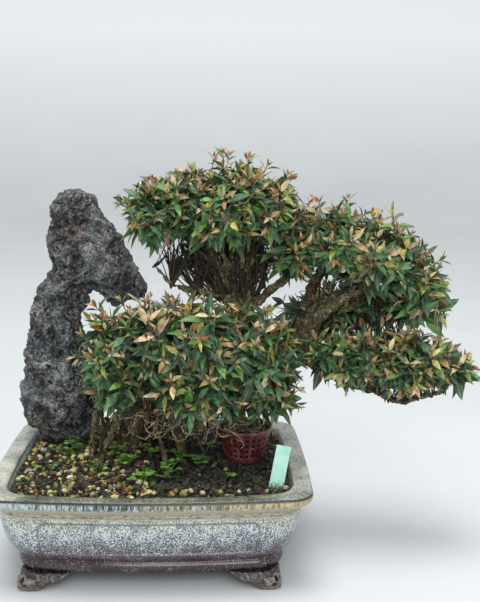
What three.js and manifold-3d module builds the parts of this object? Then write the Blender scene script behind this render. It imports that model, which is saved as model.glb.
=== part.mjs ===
// An Asiatic jasmine grown as a bonsai beside a standing lava stone, in a glazed rectangular pot.
// Millimetres, +Z up, the front of the pot towards -Y. The tree, stone and pot are laid out round the
// middle of the pot; the group is then shifted so that its origin is the bottom centre of the whole.
import * as THREE from "three";
import { mergeVertices } from "three/addons/utils/BufferGeometryUtils.js";
import Module from "manifold-3d";

const wasm = await Module();
wasm.setup();

const FIT_GAP = 0.35; // clearance between pieces that touch

// Pot: half sizes of the rim at its corners, how far its sides bow out at their middles, and heights.
const RIM_HALF_X = 143.2;
const RIM_HALF_Y = 107;
const SHORT_SIDE_BOW = 2.8;
const LONG_SIDE_BOW = 9;
const FOOT_HEIGHT = 14;
const POT_HEIGHT = 92;
const FLOOR_TOP = 24;
const DRAIN_X = 62;
const DRAIN_RADIUS = 12;
const PANEL_BOTTOM = 35;
const PANEL_TOP = 67.5;
const PANEL_DEPTH = 1.6;

// Soil: level at the wall, and the mound under the tree.
const SOIL_EDGE = 85;
const MOUND = { x: -2, y: 24, height: 13, spreadX: 62, spreadY: 46 };

// Leaf of the species, seen flat, as thick as a small solid can be made.
const LEAF_LENGTH = 31;
const LEAF_WIDTH = 10.4;
const LEAF_THICKNESS = 1.2;

// Fertiliser basket.
const BASKET = { x: 87, y: 6, bottomRadius: 17.5, topRadius: 25.5, height: 32, wall: 1.6 };

// Plant label.
const LABEL = { x: 111, y: -79, width: 13, thickness: 0.9, above: 41, below: 23 };

// A repeatable random number from 0 to 1 each call.
function makeRandom(seed) {
  let state = seed >>> 0;
  return () => {
    state = (state + 0x6d2b79f5) >>> 0;
    let t = state;
    t = Math.imul(t ^ (t >>> 15), t | 1);
    t ^= t + Math.imul(t ^ (t >>> 7), t | 61);
    return ((t ^ (t >>> 14)) >>> 0) / 4294967296;
  };
}

function latticeValue(i, j, k) {
  const s = Math.sin(i * 127.1 + j * 311.7 + k * 74.7) * 43758.5453;
  return s - Math.floor(s);
}

// Smooth noise from -1 to 1 with features one unit apart.
function noise(x, y, z) {
  const cell = [Math.floor(x), Math.floor(y), Math.floor(z)];
  const part = [x - cell[0], y - cell[1], z - cell[2]].map((t) => t * t * (3 - 2 * t));
  let sum = 0;
  for (let corner = 0; corner < 8; corner++) {
    const bits = [corner & 1, (corner >> 1) & 1, (corner >> 2) & 1];
    const weight = bits.reduce((w, bit, n) => w * (bit ? part[n] : 1 - part[n]), 1);
    sum += weight * latticeValue(cell[0] + bits[0], cell[1] + bits[1], cell[2] + bits[2]);
  }
  return sum * 2 - 1;
}

// A closed geometry as a solid.
function solidOf(geometry) {
  const bare = new THREE.BufferGeometry();
  const source = geometry.index ? geometry.toNonIndexed() : geometry;
  bare.setAttribute("position", source.getAttribute("position"));
  const merged = mergeVertices(bare, 1e-4);
  const mesh = new wasm.Mesh({
    numProp: 3,
    vertProperties: new Float32Array(merged.attributes.position.array),
    triVerts: new Uint32Array(merged.index.array),
  });
  return new wasm.Manifold(mesh);
}

function geometryOf(solid) {
  const mesh = solid.getMesh();
  const geometry = new THREE.BufferGeometry();
  geometry.setAttribute("position", new THREE.BufferAttribute(new Float32Array(mesh.vertProperties), 3));
  geometry.setIndex(new THREE.BufferAttribute(new Uint32Array(mesh.triVerts), 1));
  return geometry;
}

function join(solids) {
  return solids.reduce((whole, next) => whole.add(next));
}

// The biggest body of a solid, so that a loose scrap left by a cut is dropped.
function mainBody(solid) {
  const bodies = solid.decompose();
  return bodies.reduce((best, body) => (body.volume() > best.volume() ? body : best));
}

// A closed skin over rings that have the same number of points; both ends are closed by fans.
function loft(rings) {
  const count = rings[0].length;
  const middle = (ring) => ring.reduce((sum, p) => sum.add(p), new THREE.Vector3()).divideScalar(count);
  const points = [...rings.flat(), middle(rings[0]), middle(rings[rings.length - 1])];
  const first = rings.length * count;
  const index = [];
  for (let i = 0; i < count; i++) {
    const next = (i + 1) % count;
    index.push(first, next, i);
    index.push(first + 1, (rings.length - 1) * count + i, (rings.length - 1) * count + next);
    for (let r = 0; r + 1 < rings.length; r++) {
      const [a, b, c, d] = [r * count + i, r * count + next, (r + 1) * count + next, (r + 1) * count + i];
      index.push(a, b, c, a, c, d);
    }
  }
  return new THREE.BufferGeometry().setFromPoints(points).setIndex(index);
}

// A solid from lofted rings, whichever way round they run.
function loftSolid(rings) {
  const made = solidOf(loft(rings));
  return made.volume() > 0 ? made : solidOf(loft(rings.map((ring) => [...ring].reverse())));
}

// A round tapered limb through the given points, with some unevenness in its thickness.
function limb(points, radii, { sides = 4, steps = 4, uneven = 0.12, extra = 0 } = {}) {
  const path = new THREE.CatmullRomCurve3(points.map((p) => new THREE.Vector3(...p)));
  const frames = path.computeFrenetFrames(steps, false);
  const rings = [];
  for (let s = 0; s <= steps; s++) {
    const t = s / steps;
    const centre = path.getPointAt(t);
    const place = path.getUtoTmapping(t) * (radii.length - 1);
    const below = Math.min(Math.floor(place), radii.length - 2);
    const radius = THREE.MathUtils.lerp(radii[below], radii[below + 1], place - below);
    const ring = [];
    for (let k = 0; k < sides; k++) {
      const angle = (2 * Math.PI * k) / sides;
      const spot = centre.clone();
      spot.addScaledVector(frames.normals[s], Math.cos(angle) * radius);
      spot.addScaledVector(frames.binormals[s], Math.sin(angle) * radius);
      const swell = 1 + uneven * noise(spot.x / 9, spot.y / 9, spot.z / 9);
      ring.push(spot.sub(centre).multiplyScalar(swell + extra / radius).add(centre));
    }
    rings.push(ring);
  }
  return loftSolid(rings);
}

// Pot: slip-cast stoneware, one fired piece with its four scroll feet.

// Places along the four sides where an outline has points, as shares of the straight run. The panels
// end between the second place and the third from each end.
const LONG_SIDE = [-1, -0.925, -0.905, -0.45, 0, 0.45, 0.905, 0.925, 1];
const SHORT_SIDE = [-1, -0.92, -0.895, 0, 0.895, 0.92, 1];
const CORNER_STEPS = 3;

// One level outline: a rectangle with round corners, bowed sides and sunk panels.
function levelOutline({ halfX, halfY, corner, bowX, bowY, z, sunk = 0 }) {
  const flat = [];
  const sides = [
    { turn: 0, run: halfY - corner, out: halfX, shares: SHORT_SIDE },
    { turn: 1, run: halfX - corner, out: halfY, shares: LONG_SIDE },
    { turn: 2, run: halfY - corner, out: halfX, shares: SHORT_SIDE },
    { turn: 3, run: halfX - corner, out: halfY, shares: LONG_SIDE },
  ];
  for (const side of sides) {
    const turned = (u, v) => {
      const angle = (side.turn * Math.PI) / 2;
      return [u * Math.cos(angle) - v * Math.sin(angle), u * Math.sin(angle) + v * Math.cos(angle)];
    };
    for (const share of side.shares) {
      const last = side.shares[side.shares.length - 2];
      const inPanel = Math.abs(share) < last ? sunk : 0;
      flat.push(turned(side.out - inPanel, share * side.run));
    }
    for (let step = 1; step < CORNER_STEPS; step++) {
      const angle = ((step / CORNER_STEPS) * Math.PI) / 2;
      flat.push(turned(side.out - corner + corner * Math.cos(angle), side.run + corner * Math.sin(angle)));
    }
  }
  return flat.map(([x, y]) => {
    const outX = bowX * (1 - (y / halfY) ** 2) * (x / halfX);
    const outY = bowY * (1 - (x / halfX) ** 2) * (y / halfY);
    return new THREE.Vector3(x + outX, y + outY, z);
  });
}

function potOutline(inset, corner, z, { sunk = 0, bowY = LONG_SIDE_BOW } = {}) {
  const halves = { halfX: RIM_HALF_X - inset, halfY: RIM_HALF_Y - inset };
  return levelOutline({ ...halves, corner, bowX: SHORT_SIDE_BOW, bowY, z, sunk });
}

// Outside of the pot from its base bead up to the rim: height, inset from the rim, corner radius.
const POT_OUTSIDE = [
  [FOOT_HEIGHT, 27, 21], [16, 23.8, 23], [22.5, 23.4, 23], [25, 25.6, 22],
  [PANEL_BOTTOM - 1, 18.4, 25], [PANEL_BOTTOM, 17.8, 25], [44, 13.8, 26], [54, 10.8, 27],
  [PANEL_TOP - 1, 9.4, 27], [PANEL_TOP, 9.3, 27], [75.5, 9.1, 27], [84, 0.6, 17], [89, 0, 17],
  [POT_HEIGHT, 3.5, 15],
];
// Inside of the pot from the rim down to the floor.
const POT_INSIDE = [
  [POT_HEIGHT - 0.8, 16.5, 17], [88, 19, 16], [52, 21.5, 14], [31, 31.5, 14], [FLOOR_TOP, 43, 12],
];
const INSIDE_BOW = 12; // the long walls bow more inside, so the rim is narrowest half way along

// The inside wall's level outline at a height, drawn in by a gap.
function insideOutline(z, gap) {
  const levels = [...POT_INSIDE].reverse();
  const above = levels.findIndex(([height]) => height >= z);
  const [z0, inset0, corner0] = levels[above - 1];
  const [z1, inset1, corner1] = levels[above];
  const inset = THREE.MathUtils.mapLinear(z, z0, z1, inset0, inset1);
  const corner = THREE.MathUtils.mapLinear(z, z0, z1, corner0, corner1);
  return potOutline(inset + gap, corner, z, { bowY: INSIDE_BOW });
}

// Front view of one foot, as a flat lobed scroll: distance in from its outer face, height.
const FOOT_OUTLINE = [
  [49, 17], [43, 11.5], [35, 7.6], [26, 6.6], [18, 0], [6.5, 0], [1.4, 3], [0.2, 7.5], [3, 11.5], [3.5, 17],
];
const FOOT_OUT_X = 117;
const FOOT_OUT_Y = 96;
const FOOT_LEG = 16;
// The feet's outer faces are rounded off inside these outlines: height, half sizes, corner radius.
const FOOT_ROUNDING = [[-1, 120.5, 94, 18], [6, 120.5, 94, 18], [17, 114, 88, 18]];

// The foot at the +X +Y corner: a leg along the front or back, and one along the side.
function footSolid() {
  const outline = new THREE.Shape(FOOT_OUTLINE.map(([inward, z]) => new THREE.Vector2(-inward, z)));
  const leg = () => new THREE.ExtrudeGeometry(outline, { depth: FOOT_LEG, bevelEnabled: false });
  const along = leg().rotateX(Math.PI / 2).translate(FOOT_OUT_X, FOOT_OUT_Y, 0);
  const across = leg().rotateX(Math.PI / 2).rotateZ(Math.PI / 2);
  across.translate(FOOT_OUT_X - FOOT_LEG, FOOT_OUT_Y, 0);
  const rings = FOOT_ROUNDING.map(([z, halfX, halfY, corner]) =>
    levelOutline({ halfX, halfY, corner, bowX: 0, bowY: 0, z }),
  );
  return solidOf(along).add(solidOf(across)).intersect(loftSolid(rings));
}

function potSolid() {
  const rings = POT_OUTSIDE.map(([z, inset, corner]) =>
    potOutline(inset, corner, z, { sunk: z > PANEL_BOTTOM - 0.5 && z < PANEL_TOP - 0.5 ? PANEL_DEPTH : 0 }),
  );
  POT_INSIDE.forEach(([z, inset, corner]) => rings.push(potOutline(inset, corner, z, { bowY: INSIDE_BOW })));
  let pot = loftSolid(rings);
  const foot = footSolid();
  const flip = (solid, x, y) => {
    const geometry = geometryOf(solid).scale(x, y, 1);
    if (x * y < 0) {
      const index = geometry.index.array;
      for (let i = 0; i < index.length; i += 3) [index[i], index[i + 1]] = [index[i + 1], index[i]];
    }
    return solidOf(geometry);
  };
  for (const [x, y] of [[1, 1], [-1, 1], [1, -1], [-1, -1]]) pot = pot.add(flip(foot, x, y));
  for (const x of [-DRAIN_X, DRAIN_X]) {
    const hole = new THREE.CylinderGeometry(DRAIN_RADIUS, DRAIN_RADIUS, FLOOR_TOP, 16);
    hole.rotateX(Math.PI / 2).translate(x, 0, FOOT_HEIGHT);
    pot = pot.subtract(solidOf(hole));
  }
  return pot;
}

// Drain screens: squares of plastic mesh laid over the two drain holes.
const SCREEN_SIDE = 36;
const SCREEN_HOLE = 6;
const SCREEN_PITCH = 9;
const SCREEN_THICKNESS = 1.1;
const SCREEN_BOTTOM = FLOOR_TOP + FIT_GAP;

function screenSolid(x) {
  const sheet = new THREE.BoxGeometry(SCREEN_SIDE, SCREEN_SIDE, SCREEN_THICKNESS);
  let screen = solidOf(sheet.translate(x, 0, SCREEN_BOTTOM + SCREEN_THICKNESS / 2));
  for (let i = -1; i <= 1; i++) {
    for (let j = -1; j <= 1; j++) {
      const hole = new THREE.BoxGeometry(SCREEN_HOLE, SCREEN_HOLE, SCREEN_HOLE);
      hole.translate(x + i * SCREEN_PITCH, j * SCREEN_PITCH, SCREEN_BOTTOM);
      screen = screen.subtract(solidOf(hole));
    }
  }
  return screen;
}

// Stone: a standing piece of porous lava with a head that leans over to the right.
const STONE_Y = 60;
const STONE_SIDES = 17;
const STONE_ARM_SIDES = 12;
const STONE_LUMP = 4.5;

// Column, from buried base to top: height, left edge, right edge, half depth.
const STONE_COLUMN = [
  [74, -104, -74, 15], [90, -112, -66, 22], [103, -127, -58, 28], [118, -140, -50, 31],
  [134, -141, -47, 31], [150, -136, -55, 29], [168, -134, -66, 27], [186, -132, -70, 27],
  [204, -131, -71, 26], [222, -129, -70, 26], [238, -126, -68, 26], [252, -117, -64, 25],
  [266, -107, -56, 25], [280, -108, -48, 26], [298, -111, -44, 26], [314, -111, -46, 25],
  [328, -108, -52, 22], [338, -101, -60, 16], [343, -92, -70, 8],
];
// Leaning head, from inside the column to its tip: x, low edge, high edge, half depth.
const STONE_ARM = [
  [-84, 262, 322, 18], [-66, 246, 329, 22], [-54, 238, 324, 23], [-43, 230, 314, 22],
  [-34, 230, 296, 20], [-25, 234, 277, 18], [-16, 236, 262, 15], [-9, 240, 251, 8],
];

function stoneSolid(extra = 0) {
  const rough = (p, centre) => {
    const out = p.clone().sub(centre).normalize();
    const broad = STONE_LUMP * noise(p.x / 24 + 3, p.y / 24, p.z / 24);
    const fine = STONE_LUMP * noise(p.x / 11, p.y / 11 + 7, p.z / 11);
    return p.addScaledVector(out, broad + fine + extra);
  };
  const column = STONE_COLUMN.map(([z, left, right, depth]) => {
    const centre = new THREE.Vector3((left + right) / 2, STONE_Y, z);
    return Array.from({ length: STONE_SIDES }, (_, k) => {
      const a = (2 * Math.PI * k) / STONE_SIDES;
      const half = (right - left) / 2 - 1;
      const p = new THREE.Vector3(centre.x + half * Math.cos(a), STONE_Y + depth * Math.sin(a), z);
      return rough(p, centre);
    });
  });
  const arm = STONE_ARM.map(([x, low, high, depth]) => {
    const centre = new THREE.Vector3(x, STONE_Y - 3, (low + high) / 2);
    return Array.from({ length: STONE_ARM_SIDES }, (_, k) => {
      const a = (2 * Math.PI * k) / STONE_ARM_SIDES;
      const half = (high - low) / 2 - 2;
      const p = new THREE.Vector3(x, centre.y + depth * Math.cos(a), centre.z + half * Math.sin(a));
      return rough(p, centre);
    });
  });
  return loftSolid(column).add(loftSolid(arm));
}

// Tree: trunk, limbs, twig fans and bared roots, all grown as one piece of wood.

// Each limb: its points, its radii, and optionally how it is divided.
const LIMBS = [
  // leaning trunk, from the root crown up to the right
  [
    [
      [-20, 22, 126], [-6, 22, 142], [30, 21, 152], [70, 20, 163], [110, 18, 178],
      [142, 16, 199], [150, 13, 226],
    ],
    [14, 18, 18, 17, 17, 17, 12], { sides: 8, steps: 11, uneven: 0.2 },
  ],
  // twin stems under the top crown
  [[[84, 20, 168], [85, 18, 208], [79, 18, 234], [72, 18, 256], [60, 16, 279], [46, 12, 304]],
    [11, 8.5, 6.8, 6.2, 5, 3.4], { sides: 6, steps: 7 }],
  [[[98, 20, 172], [93, 23, 212], [88, 24, 238], [87, 26, 262], [92, 27, 284], [106, 26, 306]],
    [11, 8, 6.5, 5.8, 4.8, 3.4], { sides: 6, steps: 7 }],
  // limbs of the upper right crown
  [[[148, 14, 210], [154, 11, 234], [172, 8, 247], [202, 4, 254], [232, 2, 250]], [12, 9, 7, 5, 3],
    { sides: 6, steps: 7 }],
  [[[146, 16, 208], [148, 25, 244], [162, 32, 270], [180, 34, 288]], [10, 7, 5, 3]],
  [[[150, 10, 214], [160, -4, 236], [180, -14, 252], [198, -14, 262]], [9, 7, 5, 3]],
  [[[90, 22, 232], [106, 20, 248], [121, 18, 261], [144, 14, 277], [166, 12, 290]], [6, 5.6, 5, 4, 2.8]],
  // limbs of the lower right crown
  [
    [
      [146, 14, 190], [160, 9, 180], [184, 4, 166], [218, 2, 156], [237, 1, 145],
      [250, 0, 150], [280, -3, 158],
    ],
    [10, 8, 6, 5, 4.6, 4, 2.6], { sides: 5, steps: 11 },
  ],
  [[[150, 10, 194], [172, -2, 184], [206, -12, 182], [240, -18, 184], [262, -18, 184]], [9, 6, 5, 4, 2.6]],
  // low limb that runs left behind the front crown, to the left edge of the top crown
  [[[84, 18, 230], [64, 13, 246], [38, 6, 253], [14, 2, 261], [0, 0, 278]], [6, 4.5, 4, 3.2, 2.2]],
  // limbs of the front crown
  [[[4, 18, 148], [-8, 0, 166], [-24, -14, 186], [-40, -16, 196]], [8, 6, 5, 3]],
  [[[34, 20, 154], [36, 2, 172], [34, -14, 190], [30, -18, 212]], [8, 6, 5, 3]],
  [[[70, 18, 164], [76, 0, 178], [82, -14, 192], [96, -18, 204]], [8, 6, 5, 3]],
  // bared roots, from the root crown down into the soil
  [[[-20, 20, 138], [-34, 10, 152], [-50, 6, 150], [-56, 0, 132], [-60, -4, 110], [-62, -6, 78]],
    [7, 5, 4, 4, 3.6, 3], { sides: 5, steps: 6 }],
  [[[-14, 18, 134], [-26, 4, 142], [-33, -4, 134], [-42, -8, 114], [-50, -12, 94], [-54, -16, 74]],
    [8, 6, 5, 4.2, 3.6, 2.6], { sides: 5, steps: 6 }],
  [[[-10, 20, 136], [-22, 0, 146], [-8, -14, 138], [4, -20, 122], [10, -24, 100], [14, -26, 72]],
    [6, 4, 3.2, 3, 2.8, 2.2], { sides: 5, steps: 6 }],
  [[[-18, 22, 132], [-22, 24, 112], [-26, 26, 92], [-28, 28, 72]], [13, 12, 11, 8], { sides: 7 }],
  [[[-8, 24, 136], [0, 30, 116], [6, 36, 96], [10, 40, 72]], [10, 8, 7, 5], { sides: 5 }],
  [[[6, 20, 140], [16, 14, 122], [24, 8, 104], [30, 4, 72]], [9, 7, 6, 4], { sides: 5 }],
  [[[30, 20, 146], [44, 22, 124], [52, 24, 102], [56, 26, 72]], [8, 6, 5, 4], { sides: 5 }],
  [[[-24, 26, 128], [-44, 34, 116], [-54, 42, 98], [-58, 46, 74]], [7, 6, 5, 4], { sides: 5 }],
  // hanging roots over the basket
  [[[78, 14, 156], [82, 4, 142], [84, 0, 132], [80, -6, 126]], [4.5, 2.6, 2, 1.4],
    { sides: 4, steps: 3 }],
  [[[96, 14, 164], [100, 6, 146], [96, 2, 134], [92, 6, 126]], [4.5, 2.6, 2, 1.4],
    { sides: 4, steps: 3 }],
  [[[60, 12, 152], [58, -8, 138], [50, -18, 130], [38, -22, 128]], [4.5, 2.4, 2, 1.4],
    { sides: 4, steps: 3 }],
];

// Crowns: each a rounded cloud of leafy shoots. core is the thicket of twigs inside it, as half sizes;
// low is how far down the cloud carries leaves, from 1 at its top to -1 at its bottom.
const CROWNS = [
  {
    name: "foliage_top", centre: [55, 10, 306], core: [60, 41, 54], flat: 0.6, low: -0.3,
    shoots: 29, seed: 11, fan: { from: [[72, 18, 256], [87, 26, 262]], count: 9 },
  },
  {
    name: "foliage_right_upper", centre: [193, 10, 259], core: [65, 40, 56], flat: 0.7, low: -0.42,
    shoots: 28, seed: 23, fan: { from: [[172, 8, 247], [162, 30, 268]], count: 4 },
  },
  {
    name: "foliage_right_lower", centre: [230, -12, 187], core: [56, 32, 15], flat: 0.8, low: -0.75,
    shoots: 18, seed: 37, fan: { from: [[206, -12, 182]], count: 2 },
  },
  {
    name: "foliage_front", centre: [33, -14, 193], core: [85, 40, 42], flat: 0.92, low: -0.82,
    shoots: 35, seed: 51, fan: { from: [[34, -10, 186], [82, -14, 190]], count: 2 },
  },
];

// Direction number n of count spread evenly over the leafy part of a crown.
function spreadDirection(n, count, low, random) {
  const z = THREE.MathUtils.lerp(0.97, low, (n + 0.5) / count);
  const angle = n * Math.PI * (3 - Math.sqrt(5)) + (random() - 0.5) * 0.7;
  const level = Math.sqrt(1 - z * z);
  return new THREE.Vector3(Math.cos(angle) * level, Math.sin(angle) * level, z);
}

function treeSolid(extra = 0) {
  const parts = LIMBS.map(([points, radii, shape]) => limb(points, radii, { ...shape, extra }));
  for (const crown of CROWNS) {
    const random = makeRandom(crown.seed + 1000);
    const centre = new THREE.Vector3(...crown.centre);
    for (let n = 0; n < crown.fan.count; n++) {
      const start = new THREE.Vector3(...crown.fan.from[n % crown.fan.from.length]);
      const out = spreadDirection(n, crown.fan.count, 0.1, random);
      const end = out.multiply(new THREE.Vector3(...crown.core)).multiplyScalar(0.8).add(centre);
      const bend = start.clone().lerp(end, 0.45);
      bend.z -= 5 * random();
      const points = [start, bend, end].map((p) => p.toArray());
      parts.push(limb(points, [3.8, 2.8, 2], { sides: 3, steps: 2, extra }));
    }
  }
  return join(parts);
}

// One leaf blade from the origin along +X with its face up: arched, with its rib below.
const BLADE_STATIONS = [
  { along: 0.3, half: 0.49 },
  { along: 0.66, half: 0.4 },
];

function leafGeometry(length, width, arch) {
  const at = (along, y, z) => new THREE.Vector3(along * length, y, z - arch * along * along * length);
  const points = [at(0, 0, 0), at(1, 0, 0)];
  for (const { along, half } of BLADE_STATIONS) {
    points.push(at(along, half * width, 0), at(along, -half * width, 0), at(along, 0, -LEAF_THICKNESS));
  }
  const [base, tip, left1, right1, rib1, left2, right2, rib2] = points.keys();
  const faces = [
    [base, right1, left1], [base, rib1, right1], [base, left1, rib1],
    [left1, right1, right2], [left1, right2, left2], [right1, rib1, rib2], [right1, rib2, right2],
    [rib1, left1, left2], [rib1, left2, rib2],
    [left2, right2, tip], [right2, rib2, tip], [rib2, left2, tip],
  ];
  return new THREE.BufferGeometry().setFromPoints(points).setIndex(faces.flat());
}

// A leaf turned so that it runs along out, with its face towards up.
function placedLeaf(root, out, up, length, width, arch) {
  const x = out.clone().normalize();
  const y = up.clone().cross(x).normalize();
  const z = x.clone().cross(y);
  const place = new THREE.Matrix4().makeBasis(x, y, z).setPosition(root);
  return leafGeometry(length, width, arch).applyMatrix4(place);
}

// Where the twig thicket of a crown has its surface in a direction.
function thicketPoint(crown, out) {
  const swell = 1 + 0.14 * noise(out.x * 2.2 + crown.seed, out.y * 2.2, out.z * 2.2);
  const flatter = out.z < 0 ? crown.flat : 1;
  const reach = new THREE.Vector3(...crown.core).multiply(new THREE.Vector3(swell, swell, swell * flatter));
  return out.clone().multiply(reach).add(new THREE.Vector3(...crown.centre));
}

// The twig thicket in the middle of a crown.
function thicket(crown) {
  const ball = new THREE.IcosahedronGeometry(1, 2);
  const place = ball.getAttribute("position");
  for (let i = 0; i < place.count; i++) {
    const p = new THREE.Vector3().fromBufferAttribute(place, i);
    place.setXYZ(i, ...thicketPoint(crown, p).toArray());
  }
  return solidOf(ball);
}

// Leaves of one crown: at each shoot a star of four, two and two across each other.
function crownLeaves(crown) {
  const random = makeRandom(crown.seed);
  const leaves = [];
  for (let n = 0; n < crown.shoots; n++) {
    const out = spreadDirection(n, crown.shoots, crown.low, random);
    const spot = thicketPoint(crown, out);
    const away = out.clone().divide(new THREE.Vector3(...crown.core)).normalize();
    const shoot = away.clone().add(new THREE.Vector3(0, 0, 0.3)).normalize();
    const side = new THREE.Vector3(-shoot.y, shoot.x, 0.2).normalize();
    const turn = random() * Math.PI;
    const droop = out.z < 0.25 ? 0.45 : 0.1;
    for (let k = 0; k < 4; k++) {
      const around = side.clone().applyAxisAngle(shoot, turn + (k * Math.PI) / 2);
      const lean = 0.5 + 0.35 * random() + (k % 2) * 0.2;
      const run = shoot.clone().multiplyScalar(1 - lean * 0.4).addScaledVector(around, lean);
      run.z -= droop * random();
      const root = spot.clone().addScaledVector(away, -4).addScaledVector(around, 4.2);
      const length = LEAF_LENGTH * (0.86 + 0.3 * random());
      const width = LEAF_WIDTH * (0.92 + 0.25 * random());
      leaves.push(placedLeaf(root, run, shoot, length, width, 0.1 + 0.16 * random()));
    }
  }
  return leaves;
}

// Crown solid: thicket with its leaves, clear of each other and of everything that is already built.
function crownSolid(crown, others, woodRoom) {
  let crownBody = thicket(crown);
  for (const other of others) crownBody = crownBody.subtract(other);
  const blades = [];
  for (const geometry of crownLeaves(crown)) {
    const blade = solidOf(geometry);
    if ([...others, ...blades].every((other) => blade.intersect(other).isEmpty())) blades.push(blade);
  }
  return mainBody(join([crownBody, ...blades]).subtract(woodRoom));
}

// Soil: grit and loam that fill the pot, mounded up to the tree.
const SOIL_BOTTOM = SCREEN_BOTTOM + SCREEN_THICKNESS + FIT_GAP;
const SOIL_SHARES = [0.97, 0.8, 0.62, 0.44, 0.22]; // rings of its top, from the wall to the middle
const GRIT_COUNT = 14;

function soilHeight(x, y) {
  const far = ((x - MOUND.x) / MOUND.spreadX) ** 2 + ((y - MOUND.y) / MOUND.spreadY) ** 2;
  const mound = MOUND.height * Math.exp(-far);
  const grain = 1.3 * noise(x / 7, y / 7, 2) + 1.2 * noise(x / 22, y / 22, 5);
  const seat = THREE.MathUtils.smoothstep(Math.hypot(x - BASKET.x, y - BASKET.y), 19, 27);
  return THREE.MathUtils.lerp(SOIL_EDGE + 3, SOIL_EDGE + 1.5 + mound + grain, seat);
}

function soilSolid(cuts) {
  const wall = (z) => insideOutline(z, FIT_GAP * 1.4);
  const rings = [SOIL_BOTTOM, 31, 52, SOIL_EDGE - 1].map(wall);
  const edge = wall(SOIL_EDGE - 1);
  for (const share of SOIL_SHARES) {
    const inner = edge.map(({ x, y }) => [x * share, y * share]);
    rings.push(inner.map(([x, y]) => new THREE.Vector3(x, y, soilHeight(x, y))));
  }
  let soil = loftSolid(rings);
  const random = makeRandom(5);
  const grit = [];
  while (grit.length < GRIT_COUNT) {
    const x = THREE.MathUtils.lerp(-108, 108, random());
    const y = THREE.MathUtils.lerp(-86, 64, random());
    if (Math.hypot(x - BASKET.x, y - BASKET.y) < 32 || Math.hypot(x - MOUND.x, y - MOUND.y) < 40) continue;
    const size = 2.6 + 1.7 * random();
    const stone = new THREE.OctahedronGeometry(size, 0).scale(1.25, 1, 0.85).rotateZ(random() * 3);
    grit.push(solidOf(stone.translate(x, y, soilHeight(x, y) + 0.6)));
  }
  soil = join([soil, ...grit]);
  for (const cut of cuts) soil = soil.subtract(cut);
  return mainBody(soil);
}

// Basket: a small moulded cup of plastic mesh, and the feed and root tangle that fill it.
const BASKET_BOTTOM = SOIL_EDGE + 3 + FIT_GAP;
const BASKET_SIDES = 14;
const HOLE_ROWS = 3;
const HOLE_COLUMNS = 7; // each bar cuts two opposite holes
const HOLE_SIDE = 3.4;
const HOLE_PITCH = 7.5;
const LOWEST_HOLE = 6;
const BASKET_LIP = 1.6;

function basketRadius(height) {
  return THREE.MathUtils.lerp(BASKET.bottomRadius, BASKET.topRadius, height / BASKET.height);
}

function turned(profile, segments) {
  return new THREE.LatheGeometry(profile.map(([r, z]) => new THREE.Vector2(r, z)), segments)
    .rotateX(Math.PI / 2)
    .translate(BASKET.x, BASKET.y, BASKET_BOTTOM);
}

function basketSolid() {
  const { height, wall, bottomRadius, topRadius } = BASKET;
  const cup = turned(
    [
      [0, 0], [bottomRadius, 0], [basketRadius(height - 3), height - 3],
      [topRadius + BASKET_LIP, height - 2.6], [topRadius + BASKET_LIP, height],
      [topRadius - wall, height], [bottomRadius - wall, wall], [0, wall],
    ],
    BASKET_SIDES,
  );
  let basket = solidOf(cup);
  const bars = [];
  for (let row = 0; row < HOLE_ROWS; row++) {
    const z = LOWEST_HOLE + row * HOLE_PITCH;
    for (let column = 0; column < HOLE_COLUMNS; column++) {
      const bar = new THREE.BoxGeometry(2.3 * topRadius, HOLE_SIDE, HOLE_SIDE);
      bar.rotateZ((Math.PI * column) / HOLE_COLUMNS);
      bars.push(solidOf(bar.translate(BASKET.x, BASKET.y, BASKET_BOTTOM + z)));
    }
  }
  for (const bar of bars) basket = basket.subtract(bar);
  return basket;
}

// The room the basket takes up, with clearance, from just under it.
function basketRoom() {
  const { height, bottomRadius, topRadius } = BASKET;
  return solidOf(
    turned(
      [[0, -FIT_GAP], [bottomRadius + 0.6, -FIT_GAP], [topRadius + 2.4, height], [0, height]],
      BASKET_SIDES,
    ),
  );
}

function basketFillSolid(cuts) {
  const inner = (z) => basketRadius(z) - BASKET.wall - 0.6;
  const floor = BASKET.wall + FIT_GAP;
  const top = BASKET.height - 6;
  const heap = turned(
    [[0, floor], [inner(floor), floor], [inner(top), top], [inner(top) * 0.55, top + 3.5], [0, top + 5]],
    BASKET_SIDES,
  );
  return cuts.reduce((body, cut) => body.subtract(cut), solidOf(heap));
}

// Label: a strip of plastic with a pointed end, pushed into the soil with its top leaning right and back.
const LABEL_POINT = 8;
const LABEL_LEAN_BACK = 0.16;
const LABEL_LEAN_RIGHT = 0.19;

function labelSolid(extra = 0) {
  const half = LABEL.width / 2 + extra;
  const strip = new THREE.Shape();
  const shoulder = LABEL_POINT - LABEL.below;
  strip.moveTo(-half, LABEL.above + extra).lineTo(-half, shoulder);
  strip.lineTo(0, -LABEL.below - extra).lineTo(half, shoulder).lineTo(half, LABEL.above + extra);
  const depth = LABEL.thickness + 2 * extra;
  const geometry = new THREE.ExtrudeGeometry(strip.closePath(), { depth, bevelEnabled: false });
  geometry.translate(0, 0, -depth / 2).rotateX(Math.PI / 2 - LABEL_LEAN_BACK).rotateY(LABEL_LEAN_RIGHT);
  return solidOf(geometry.translate(LABEL.x, LABEL.y, SOIL_EDGE + 2.5));
}

// Weeds: small clover-like seedlings that came up in the grit, each with round leaves on thin stalks.
const WEEDS = [
  { name: "seedling_by_stone", x: -78, y: 20, leaves: 3, seed: 3 },
  { name: "seedling_left", x: -26, y: -24, leaves: 3, seed: 4 },
  { name: "seedling_front", x: -8, y: -62, leaves: 3, seed: 5 },
  { name: "seedling_middle", x: 14, y: -38, leaves: 3, seed: 6 },
  { name: "seedling_by_basket", x: 42, y: -20, leaves: 3, seed: 7 },
];

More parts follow.
